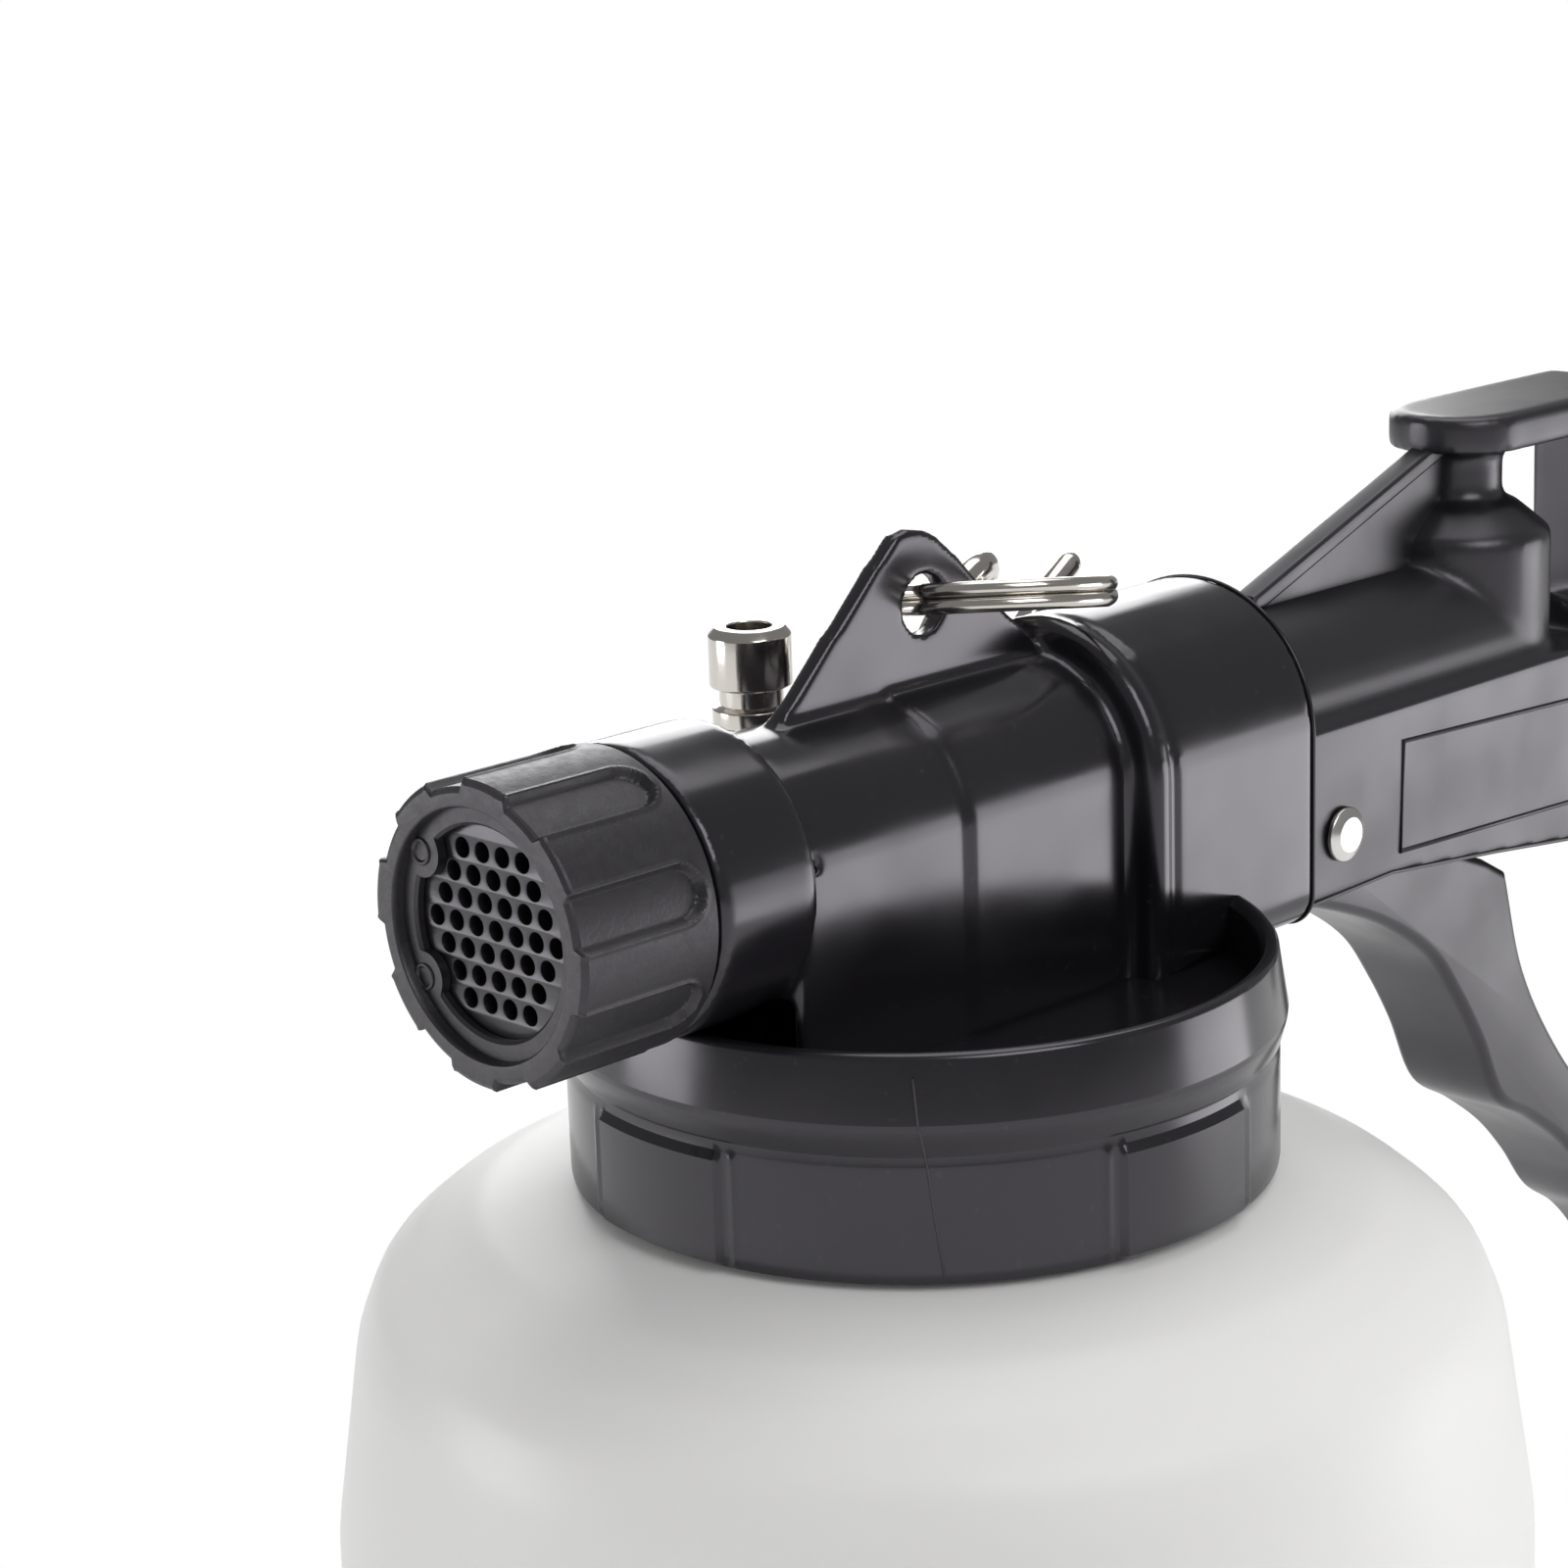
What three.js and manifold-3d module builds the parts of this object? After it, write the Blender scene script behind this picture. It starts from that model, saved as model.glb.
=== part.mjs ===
// Air-operated vacuum fluid extractor: a moulded venturi head with a pistol-style air gun,
// screwed on a round two-litre bottle. Millimetres, +Z up, the nose points along +X.
// The bottle stands on z = 0. Everything above the neck is drawn in a frame whose zero height
// is the top of the cap's rim, RIM_HEIGHT above the floor.
import * as THREE from 'three';
import { mergeVertices } from 'three/addons/utils/BufferGeometryUtils.js';
import Module from 'manifold-3d';

const wasm = await Module();
wasm.setup();

// ---- driving dimensions -------------------------------------------------------------------
const CLEARANCE = 0.3; // gap kept between two pieces that touch or fit

const RIM_HEIGHT = 205; // cap rim above the floor
const BOTTLE_RADIUS = 64; // bottle body
const BOTTLE_WALL = 2.2;
const NECK_RADIUS = 32.4; // neck outside, root of its thread
const NECK_BORE = 29.6;
const THREAD_PITCH = 4;
const THREAD_TURNS = 2.4;

const CAP_RADIUS = 37; // cap skirt outside
const CAP_BORE = 35.2; // cap skirt inside
const CAP_HEIGHT = 23.1; // rim top to open lower edge
const DISH_DEPTH = 6.5; // rim top to dish floor
const DISH_FLOOR = 1.8; // dish floor thickness
const PAD_STEP = 0.6; // grip pads stand this far out of the skirt

const BARREL_Z = 14.27; // barrel axis above the rim
const BARREL_RADIUS = 12.4;
const BARREL_FRONT = 28.8; // where the collar starts
const BARREL_BACK = -20;
const COLLAR_RADIUS = 14.65;
const COLLAR_END = 41.5;
const COLLAR_BORE = 11.6;
const COLLAR_FLOOR = 26;
const MIXING_BORE = 6;
const REAR_BORE = 9.5;
const REAR_BORE_FLOOR = -14;
const STANDPIPE_X = 2;
const STANDPIPE_RADIUS = 6.5;
const STANDPIPE_BORE = 4.3;
const STANDPIPE_END = -18;

const SLEEVE_RADIUS = 15.9; // socket that holds the gun
const SLEEVE_FRONT = -19.3;
const SLEEVE_BACK = -46;
const SLEEVE_BOTTOM = -7;
const SOCKET_FLOOR = -21.7;
const NOSE_BOTTOM = -3.5;

const FIN_THICKNESS = 2;
const FIN_APEX = 43;
const FIN_HOLE_X = -1;
const FIN_HOLE_Z = 35;
const FIN_HOLE_RADIUS = 3.1;

const HOSE_X = 1.5; // hose nipple beside the barrel
const HOSE_Y = -22;
const HOSE_BOSS_RADIUS = 6.4;
const HOSE_BOSS_TOP = 4.4;
const HOSE_COLUMN_RADIUS = 5.3;
const HOSE_COLUMN_END = -18;
const HOSE_BORE = 3.6;
const TUBE_OUTER = 3;
const TUBE_INNER = 2;
const TUBE_TOP = -12;

const SILENCER_RADIUS = 14.8;
const SILENCER_END = 58.7;
const SILENCER_BORE = 12;
const FLUTE_COUNT = 8;
const FLUTE_START = 15; // degrees round the barrel axis to the first flute
const GRILLE_X = 54.4;
const GRILLE_THICKNESS = 2;
const GRILLE_HOLE_RADIUS = 1;
const GRILLE_HOLE_PITCH = 2.8;
const GRILLE_ROWS = 7;

const BODY_HALF = 12.4; // gun side walls
const CHANNEL_HALF = 10; // trigger slot
const SPINE_RADIUS = 10.9; // half-round top between sleeve and tower
const LEDGE_Z = 13.8;
const GRIP_SLOPE = THREE.MathUtils.degToRad(17.1);
const GRIP_REF_X = -133.5; // first grip rib
const GRIP_REF_Z = 13.5;
const RIB_COUNT = 9;
const RIB_PITCH = 13.5;
const RIB_WIDTH = 3.8;
const RIB_PROUD = 2.5; // on top; less on the sides
const RIB_SIDE = 1.2;
const RIB_DROP = 24; // rib tops down to their square ends
const INLET_DROP = 14; // rib tops down to the air inlet axis
const BLOCK_FRONT_X = -175.5;
const BLOCK_CHAMFER = 26; // rib tops down to where the block starts to narrow
const BLOCK_BOTTOM = 37;
const BLOCK_HALF_LOW = 7;
const TOWER_X = -95;
const TOWER_RADIUS = 10.8;
const TOWER_TOP = 28;
const POST_RADIUS = 5;
const LOOP_TOP = 42.3;
const LOOP_THICKNESS = 4.5;
const LOOP_HALF = 8.3;
const LOOP_BACK_X = -130;

const PIVOT_X = -55.7; // trigger rivet
const PIVOT_Z = 0.92;
const PIVOT_RADIUS = 2.1;
const EAR_RADIUS = 4.2;
const TRIGGER_HALF = 7;
const TRIGGER_HALF_LOW = 6.5;
const VALVE_X = -72;
const GLAND_RADIUS = 6.5;
const GLAND_BOTTOM = 3.5;
const GLAND_TOP = 8.5;
const CHAMBER_RADIUS = 5;
const CHAMBER_TOP = 22.7;
const STEM_RADIUS = 2.5;
const STEM_END = -5;
const POPPET_RADIUS = 4.5;
const POPPET_THICKNESS = 2.4;
const SPRING_WIRE = 0.7;
const SPRING_CURLS = 4;

const CLIP_X = -207.5; // wire clip pivot
const CLIP_Z = -44.5;
const CLIP_WIRE = 1.1;
const RING_WIRE = 0.8; // split ring: two turns of wire side by side
const RING_RADIUS = 11.6;
const HOOK_WIRE = 1.5;
const HOOK_EYE = 5.6; // mean radius of the eye
const HOOK_ROUND_RING = THREE.MathUtils.degToRad(241.9); // where the eye sits on the ring
const HOOK_HEADING = THREE.MathUtils.degToRad(235.1); // compass direction of the shank
const HOOK_FALL = THREE.MathUtils.degToRad(44); // shank below level
const HOOK_ROLL = THREE.MathUtils.degToRad(132.2);

// ---- materials ----------------------------------------------------------------------------
const finish = (color, roughness, metalness) => ({ color, roughness, metalness });
const BLACK_GLOSS = finish(0x1b1a1c, 0.3, 0);
const BLACK_SATIN = finish(0x202023, 0.5, 0);
const BLACK_MATT = finish(0x232325, 0.7, 0);
const BLACK_RUBBER = finish(0x161616, 0.85, 0);
const WHITE_HDPE = finish(0xf1efeb, 0.42, 0);
const CLEAR_TUBE = finish(0xdfe3e8, 0.15, 0);
const NICKEL = finish(0xb9b3aa, 0.22, 1);
const STEEL = finish(0x9c9a96, 0.3, 1);
const BRASS = finish(0xcf9a4d, 0.2, 1);
const GREY_FELT = finish(0x8a8984, 0.95, 0);

const part = new THREE.Group();
part.name = 'vacuum_extractor';
const upper = new THREE.Group();
upper.name = 'above_rim';
upper.position.z = RIM_HEIGHT;
part.add(upper);

// ---- solid helpers ------------------------------------------------------------------------
// A closed surface as a solid that can be cut and joined, turned so that it faces outwards.
function solid(geometry) {
  const bare = geometry.clone();
  bare.deleteAttribute('normal');
  bare.deleteAttribute('uv');
  const merged = mergeVertices(bare, 1e-4);
  const points = merged.attributes.position.array;
  const index = merged.index.array;
  const kept = [];
  let volume = 0;
  for (let i = 0; i < index.length; i += 3) {
    const [a, b, c] = [index[i], index[i + 1], index[i + 2]];
    if (a === b || b === c || a === c) continue;
    kept.push(a, b, c);
    const [p, q, r] = [a, b, c].map((k) => new THREE.Vector3().fromArray(points, 3 * k));
    volume += p.dot(q.cross(r));
  }
  if (volume < 0) kept.reverse();
  return new wasm.Manifold(new wasm.Mesh({
    numProp: 3,
    vertProperties: new Float32Array(points),
    triVerts: new Uint32Array(kept),
  }));
}

// A solid back to an indexed surface.
function geometryOf(body) {
  const mesh = body.getMesh();
  const geometry = new THREE.BufferGeometry();
  geometry.setAttribute('position', new THREE.BufferAttribute(new Float32Array(mesh.vertProperties), 3));
  geometry.setIndex(new THREE.BufferAttribute(new Uint32Array(mesh.triVerts), 1));
  geometry.computeVertexNormals();
  return geometry;
}

function addPart(parent, name, geometry, surface) {
  const { color, roughness, metalness } = surface;
  const material = new THREE.MeshStandardMaterial({ color, roughness, metalness });
  material.name = `${name}_finish`;
  const mesh = new THREE.Mesh(geometry, material);
  mesh.name = name;
  parent.add(mesh);
  return mesh;
}

const box = (x0, x1, y0, y1, z0, z1) => solid(
  new THREE.BoxGeometry(x1 - x0, y1 - y0, z1 - z0)
    .translate((x0 + x1) / 2, (y0 + y1) / 2, (z0 + z1) / 2));

// Turned shapes: [radius, height] pairs about Z, or about the barrel axis along X.
const turned = (profile, sides) => solid(
  new THREE.LatheGeometry(profile.map(([r, h]) => new THREE.Vector2(r, h)), sides).rotateX(Math.PI / 2));
const turnedAlongX = (profile, sides, z = BARREL_Z) => solid(
  new THREE.LatheGeometry(profile.map(([r, h]) => new THREE.Vector2(r, h)), sides)
    .rotateZ(-Math.PI / 2).translate(0, 0, z));
const rodZ = (radius, z0, z1, x = 0, y = 0, sides = 20) =>
  turned([[0, z0], [radius, z0], [radius, z1], [0, z1]], sides).translate([x, y, 0]);
const rodX = (radius, x0, x1, z = BARREL_Z, y = 0, sides = 20) =>
  turnedAlongX([[0, x0], [radius, x0], [radius, x1], [0, x1]], sides, z).translate([0, y, 0]);
const rodY = (radius, y0, y1, x, z, sides = 16) => solid(
  new THREE.CylinderGeometry(radius, radius, y1 - y0, sides).translate(x, (y0 + y1) / 2, z));

const outline = (points) => new THREE.Shape(points.map(([a, b]) => new THREE.Vector2(a, b)));
const extruded = (points, depth) => new THREE.ExtrudeGeometry(outline(points),
  { depth, bevelEnabled: false, steps: 1 });
// A side outline in (x, z) given its width along Y.
const slab = (points, y0, y1) => solid(
  extruded(points, y1 - y0).rotateX(Math.PI / 2).translate(0, y1, 0));
// A cross-section in (y, z) given its length along X.
const bar = (points, x0, x1) => solid(
  extruded(points, x1 - x0)
    .applyMatrix4(new THREE.Matrix4().makeBasis(
      new THREE.Vector3(0, 1, 0), new THREE.Vector3(0, 0, 1), new THREE.Vector3(1, 0, 0)))
    .translate(x0, 0, 0));

function arc(cx, cy, radius, from, to, steps) {
  const points = [];
  for (let i = 0; i <= steps; i += 1) {
    const angle = THREE.MathUtils.degToRad(from + (to - from) * i / steps);
    points.push([cx + radius * Math.cos(angle), cy + radius * Math.sin(angle)]);
  }
  return points;
}

const ring = (major, minor, sides, around) => new THREE.TorusGeometry(major, minor, sides, around);

// A round bar bent along a curve.
function bentBar(points, radius, sides, steps) {
  const curve = new THREE.CatmullRomCurve3(points.map((p) => new THREE.Vector3(...p)), false, 'centripetal');
  const section = new THREE.Shape(
    arc(0, 0, radius, 0, 360 - 360 / sides, sides - 1).map(([a, b]) => new THREE.Vector2(a, b)));
  return new THREE.ExtrudeGeometry(section, { steps, bevelEnabled: false, extrudePath: curve });
}

// One helical ridge: a trapezoid section carried round the axis, closed at both ends.
function helicalRidge(root, crest, pitch, turns, bottom, rootHeight, crestHeight, perTurn) {
  const section = [
    [root, -rootHeight / 2], [crest, -crestHeight / 2], [crest, crestHeight / 2], [root, rootHeight / 2],
  ];
  const steps = Math.round(turns * perTurn);
  const positions = [];
  for (let i = 0; i <= steps; i += 1) {
    const angle = 2 * Math.PI * i / perTurn;
    const lift = bottom + pitch * i / perTurn;
    for (const [r, h] of section) positions.push(r * Math.cos(angle), r * Math.sin(angle), lift + h);
  }
  const index = [0, 2, 1, 0, 3, 2];
  for (let i = 0; i < steps; i += 1) {
    for (let k = 0; k < 4; k += 1) {
      const a = 4 * i + k;
      const b = 4 * i + (k + 1) % 4;
      index.push(a, b, a + 4, b, b + 4, a + 4);
    }
  }
  const last = 4 * steps;
  index.push(last, last + 1, last + 2, last, last + 2, last + 3);
  const geometry = new THREE.BufferGeometry();
  geometry.setAttribute('position', new THREE.Float32BufferAttribute(positions, 3));
  geometry.setIndex(index);
  return solid(geometry);
}

// ---- bottle -------------------------------------------------------------------------------
// Heights here are above the floor.
const neckTop = RIM_HEIGHT - 10.6;
const shoulder = [
  [BOTTLE_RADIUS, 135], [63.2, 146], [61.4, 157], [60.2, 165], [57.8, 171], [53, 175],
  [47, 178], [40, 180], [34.6, 181.5],
];
const bottleOutside = [
  [0, 0], [44, 0], [46, 1.2], [52, 1.2], [54, 0], [58.5, 0], [61.8, 1.4], [63.4, 4],
  [BOTTLE_RADIUS, 8], ...shoulder, [NECK_RADIUS, 182.5], [NECK_RADIUS, neckTop],
];
const bottleInside = [
  [NECK_BORE, neckTop], [NECK_BORE, 182.5], ...shoulder.slice(0, 8).reverse().map(
    ([r, h]) => [r - BOTTLE_WALL * (r > 50 ? 0.95 : 0.6), h - BOTTLE_WALL * (r > 50 ? 0.5 : 0.95)]),
  [BOTTLE_RADIUS - BOTTLE_WALL, 8], [60.2, 3.8], [57.5, 2.6], [54, 2.4], [0, 2.4],
];
const neckRidge = helicalRidge(NECK_RADIUS - 0.4, 33.3, THREAD_PITCH, THREAD_TURNS,
  RIM_HEIGHT - 21.9, 2.2, 1, 24);
const bottle = turned([...bottleOutside, ...bottleInside], 36).add(neckRidge);
addPart(part, 'bottle', geometryOf(bottle), WHITE_HDPE);

const floorUnderside = -DISH_DEPTH - DISH_FLOOR;
const sealTop = floorUnderside - CLEARANCE;
const sealBottom = neckTop - RIM_HEIGHT + CLEARANCE;
const neckSeal = turned([
  [NECK_BORE - 1, sealBottom], [NECK_RADIUS + 0.8, sealBottom],
  [NECK_RADIUS + 0.8, sealTop], [NECK_BORE - 1, sealTop], [NECK_BORE - 1, sealBottom],
], 48);
addPart(upper, 'neck_seal', geometryOf(neckSeal), BLACK_RUBBER);

// ---- venturi head -------------------------------------------------------------------------
const capShell = turned([
  [0, -DISH_DEPTH], [CAP_BORE - 1.6, -DISH_DEPTH], [CAP_BORE - 0.2, -DISH_DEPTH + 1.2], [CAP_BORE - 0.2, -0.9],
  [CAP_BORE + 0.4, -0.2], [CAP_BORE + 0.9, 0], [CAP_RADIUS - 0.5, -0.15], [CAP_RADIUS, -0.9],
  [CAP_RADIUS + 0.5, -4.5], [CAP_RADIUS + 0.8, -6.84], [CAP_RADIUS + 0.8, -7.4], [CAP_RADIUS - 0.1, -10.25],
  [CAP_RADIUS, -10.6], [CAP_RADIUS, -CAP_HEIGHT], [CAP_BORE, -CAP_HEIGHT],
  [CAP_BORE, floorUnderside - 1], [CAP_BORE - 0.8, floorUnderside], [0, floorUnderside],
], 48);
const capRidge = helicalRidge(CAP_BORE + 0.3, 33.9, THREAD_PITCH, THREAD_TURNS,
  -21.6, 2.2, 1, 24);

// Grip pads: arcs of the skirt that stand out between plain panels.
function gripPad(from, to) {
  const sector = [...arc(0, 0, CAP_RADIUS + PAD_STEP, from, to, 8), ...arc(0, 0, CAP_RADIUS - 0.4, to, from, 8)];
  return solid(extruded(sector, CAP_HEIGHT - 11.4).translate(0, 0, -CAP_HEIGHT));
}
const padCount = 4;
const padWidth = 27; // degrees
const firstPad = -16;
let head = capShell.add(capRidge);
for (let i = 0; i < padCount; i += 1) {
  const start = firstPad + 360 * i / padCount;
  head = head.add(gripPad(start, start + padWidth));
}

head = head.add(rodX(BARREL_RADIUS, BARREL_BACK, 5, BARREL_Z, 0, 40));
head = head.add(rodX(BARREL_RADIUS - 0.3, 5, BARREL_FRONT + 1, BARREL_Z, 0, 40));
const webFoot = -DISH_DEPTH - 0.5;
head = head.add(box(BARREL_BACK, 5, -BARREL_RADIUS, BARREL_RADIUS, webFoot, BARREL_Z));
const webHalf = BARREL_RADIUS - 0.3;
const frontWeb = box(5, BARREL_FRONT, -webHalf, webHalf, webFoot, BARREL_Z);
const frontPocket = box(13, BARREL_FRONT + 2, -webHalf + 1.2, webHalf - 1.2, -DISH_DEPTH, BARREL_Z)
  .subtract(rodX(webHalf, 12, BARREL_FRONT + 3, BARREL_Z, 0, 40));
head = head.add(frontWeb.subtract(frontPocket));
head = head.add(rodX(COLLAR_RADIUS, BARREL_FRONT, COLLAR_END, BARREL_Z, 0, 40));

const archSection = (radius, bottom, corner) => [
  ...arc(0, BARREL_Z, radius, 0, 180, 18),
  ...(corner > 0 ? arc(-radius + corner, bottom + corner, corner, 180, 270, 5) : [[-radius, bottom]]),
  ...(corner > 0 ? arc(radius - corner, bottom + corner, corner, 270, 360, 5) : [[radius, bottom]]),
];
head = head.add(bar(archSection(SLEEVE_RADIUS, SLEEVE_BOTTOM, 4), SLEEVE_BACK, SLEEVE_FRONT));

const finOutline = [
  [22.5, 24.4], [4.2, 41.4], [2.9, 42.5], [1.2, FIN_APEX], [-0.6, FIN_APEX - 0.2], [-2.4, 42.2], [-4.7, 40.5],
  [-10.4, 35], [-19, 27], [-19, 16], [22.5, 16],
];
head = head.add(slab(finOutline, -FIN_THICKNESS / 2, FIN_THICKNESS / 2));

head = head.add(turned([[0, STANDPIPE_END], [STANDPIPE_RADIUS, STANDPIPE_END],
  [STANDPIPE_RADIUS, floorUnderside + 1], [0, floorUnderside + 1]], 28).translate([STANDPIPE_X, 0, 0]));
head = head.add(rodZ(HOSE_COLUMN_RADIUS, HOSE_COLUMN_END, -DISH_DEPTH - 0.4, HOSE_X, HOSE_Y, 24));
head = head.add(rodZ(HOSE_BOSS_RADIUS, -DISH_DEPTH - 0.5, HOSE_BOSS_TOP, HOSE_X, HOSE_Y, 28));
for (const rib of [23.6, 26.6]) {
  head = head.add(turned([[rib, floorUnderside - 0.9], [rib + 1, floorUnderside - 0.9],
    [rib + 1, floorUnderside + 0.4], [rib, floorUnderside + 0.4], [rib, floorUnderside - 0.9]], 36));
}

head = head.subtract(rodY(FIN_HOLE_RADIUS, -2, 2, FIN_HOLE_X, FIN_HOLE_Z, 24));
head = head.subtract(rodX(COLLAR_BORE, COLLAR_FLOOR, COLLAR_END + 1, BARREL_Z, 0, 36));
head = head.subtract(rodX(MIXING_BORE, REAR_BORE_FLOOR - 1, COLLAR_FLOOR + 1));
head = head.subtract(rodX(REAR_BORE, SOCKET_FLOOR - 1, REAR_BORE_FLOOR, BARREL_Z, 0, 32));
head = head.subtract(rodZ(STANDPIPE_BORE, STANDPIPE_END - 1, BARREL_Z, STANDPIPE_X, 0, 24));
head = head.subtract(bar(archSection(BODY_HALF + CLEARANCE, NOSE_BOTTOM - CLEARANCE, 0),
  SLEEVE_BACK - 1, SOCKET_FLOOR));
head = head.subtract(rodZ(HOSE_BORE, HOSE_COLUMN_END - 1, HOSE_BOSS_TOP + 1, HOSE_X, HOSE_Y, 20));
addPart(upper, 'venturi_head', geometryOf(head), BLACK_GLOSS);

// Jet of the ejector, held between the bore shoulder and the gun's nose.
const nozzleRadius = REAR_BORE - CLEARANCE;
const nozzleBack = SOCKET_FLOOR;
const nozzleFront = REAR_BORE_FLOOR - CLEARANCE;
const ringMinor = 1;
const ringMajor = nozzleRadius - ringMinor;
const grooveFloor = ringMajor - ringMinor - CLEARANCE;
const grooveMid = (nozzleBack + nozzleFront) / 2;
const grooveHalf = ringMinor + CLEARANCE;
const airNozzle = turnedAlongX([
  [4, nozzleBack], [nozzleRadius, nozzleBack], [nozzleRadius, grooveMid - grooveHalf],
  [grooveFloor, grooveMid - grooveHalf], [grooveFloor, grooveMid + grooveHalf],
  [nozzleRadius, grooveMid + grooveHalf], [nozzleRadius, nozzleFront], [5, nozzleFront],
  [2.6, -2], [1.4, -2], [1.4, -6], [4, -15], [4, nozzleBack],
], 20);
addPart(upper, 'air_nozzle', geometryOf(airNozzle), BRASS);
const nozzleRing = addPart(upper, 'nozzle_oring', ring(ringMajor, ringMinor, 6, 20), BLACK_RUBBER);
nozzleRing.rotation.y = Math.PI / 2;
nozzleRing.position.set(grooveMid, 0, BARREL_Z);

const tubeRadius = MIXING_BORE - CLEARANCE;
const mixingTube = turnedAlongX([
  [4.6, 7.5], [tubeRadius, 7.5], [tubeRadius, COLLAR_FLOOR + CLEARANCE], [10.6, COLLAR_FLOOR + CLEARANCE],
  [10.6, COLLAR_FLOOR + 1.8], [4.8, COLLAR_FLOOR + 1.8], [2.6, 16], [2.6, 12], [4.6, 7.5],
], 20);
addPart(upper, 'mixing_tube', geometryOf(mixingTube), WHITE_HDPE);

// ---- silencer -----------------------------------------------------------------------------
const silencerBack = COLLAR_END + CLEARANCE;
const spigot = COLLAR_BORE - CLEARANCE;
let silencer = turnedAlongX([
  [9.6, 29.5], [spigot, 29.5], [spigot, silencerBack], [SILENCER_RADIUS - 0.5, silencerBack],
  [SILENCER_RADIUS, silencerBack + 0.5], [SILENCER_RADIUS, SILENCER_END - 0.6],
  [SILENCER_RADIUS - 0.6, SILENCER_END], [SILENCER_BORE, SILENCER_END],
  [SILENCER_BORE, 47], [9.6, 46], [9.6, 29.5],
], 48);
const fluteDepth = 0.8;
for (let i = 0; i < FLUTE_COUNT; i += 1) {
  const half = 2.7;
  const stadium = [
    [SILENCER_END + 1, -half], [SILENCER_END + 1, half],
    ...arc(silencerBack + 1.6 + half, 0, half, 90, 270, 8),
  ];
  const cutter = solid(extruded(stadium, 4).translate(0, 0, SILENCER_RADIUS - fluteDepth));
  silencer = silencer.subtract(
    cutter.rotate([360 * i / FLUTE_COUNT + FLUTE_START, 0, 0]).translate([0, 0, BARREL_Z]));
}
addPart(upper, 'silencer_cap', geometryOf(silencer), BLACK_MATT);

const grilleRadius = SILENCER_BORE - CLEARANCE;
let grille = rodX(grilleRadius, GRILLE_X, GRILLE_X + GRILLE_THICKNESS, BARREL_Z, 0, 48);
const rowHeight = GRILLE_HOLE_PITCH * Math.sqrt(3) / 2;
for (let row = 0; row < GRILLE_ROWS; row += 1) {
  const fromMiddle = row - (GRILLE_ROWS - 1) / 2;
  const count = GRILLE_ROWS - Math.abs(fromMiddle);
  for (let k = 0; k < count; k += 1) {
    const y = (k - (count - 1) / 2) * GRILLE_HOLE_PITCH;
    const z = BARREL_Z + fromMiddle * rowHeight;
    grille = grille.subtract(rodX(GRILLE_HOLE_RADIUS, GRILLE_X - 1, GRILLE_X + 4, z, y, 6));
  }
}
addPart(upper, 'silencer_grille', geometryOf(grille), BLACK_SATIN);
const silencerPad = rodX(grilleRadius, 47.4, GRILLE_X - CLEARANCE, BARREL_Z, 0, 32);
addPart(upper, 'silencer_pad', geometryOf(silencerPad), GREY_FELT);

// ---- hose nipple and dip tube -------------------------------------------------------------
const sealSeat = HOSE_BOSS_TOP + CLEARANCE;
const sealThickness = 1.2;
const fittingSeal = turned([
  [HOSE_BORE, sealSeat], [HOSE_BOSS_RADIUS - 0.4, sealSeat], [HOSE_BOSS_RADIUS - 0.4, sealSeat + sealThickness],
  [HOSE_BORE, sealSeat + sealThickness], [HOSE_BORE, sealSeat],
], 28).translate([HOSE_X, HOSE_Y, 0]);
addPart(upper, 'fitting_seal', geometryOf(fittingSeal), BLACK_RUBBER);

const hexBottom = sealSeat + sealThickness + CLEARANCE;
const hexTop = 15.5;
const hexRadius = 12 / Math.sqrt(3);
const hexBlock = turned([[0, hexBottom], [hexRadius, hexBottom], [hexRadius, hexTop], [0, hexTop]], 6);
const nippleTop = 30.3;
const stack = turned([
  [0, TUBE_TOP - 4], [1.7, TUBE_TOP - 4], [1.7, TUBE_TOP + 3], [3.3, TUBE_TOP + 4], [3.3, hexTop - 1],
  [3.9, hexTop - 1], [3.9, 18.6], [3.2, 18.6], [3.2, 19.6], [4.2, 19.8], [4.2, 21.6], [3.4, 22],
  [3.4, 23.6], [4.4, 24], [4.4, 29.4], [3.7, nippleTop], [0, nippleTop],
], 18);
const fittingBore = rodZ(1.1, TUBE_TOP - 6, nippleTop + 1, 0, 0, 10);
const topBore = rodZ(2.4, 24, nippleTop + 1, 0, 0, 16);
const hoseFitting = stack.add(hexBlock).subtract(fittingBore).subtract(topBore);
addPart(upper, 'hose_fitting', geometryOf(hoseFitting.translate([HOSE_X, HOSE_Y, 0])), NICKEL);

// Route of the clear dip tube: straight out of the column, then a gentle bend inside the neck.
const dipRoute = [
  [HOSE_X, HOSE_Y, TUBE_TOP], [HOSE_X, HOSE_Y, -22], [0.6, -22, -34], [-1.6, -21.6, -52], [-5, -20.4, -74],
  [-9.6, -18.3, -97], [-15.6, -15.2, -121], [-23, -11.2, -145],
];
const dipSides = 10;
const dipSteps = 18;
const dipTube = solid(bentBar(dipRoute, TUBE_OUTER, dipSides, dipSteps));
const tubeStart = new THREE.Vector3(...dipRoute[0]);
const socket = rodZ(TUBE_INNER, tubeStart.z - 9, tubeStart.z + 1, HOSE_X, HOSE_Y, dipSides);
addPart(upper, 'dip_tube', geometryOf(dipTube.subtract(socket)), CLEAR_TUBE);

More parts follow.
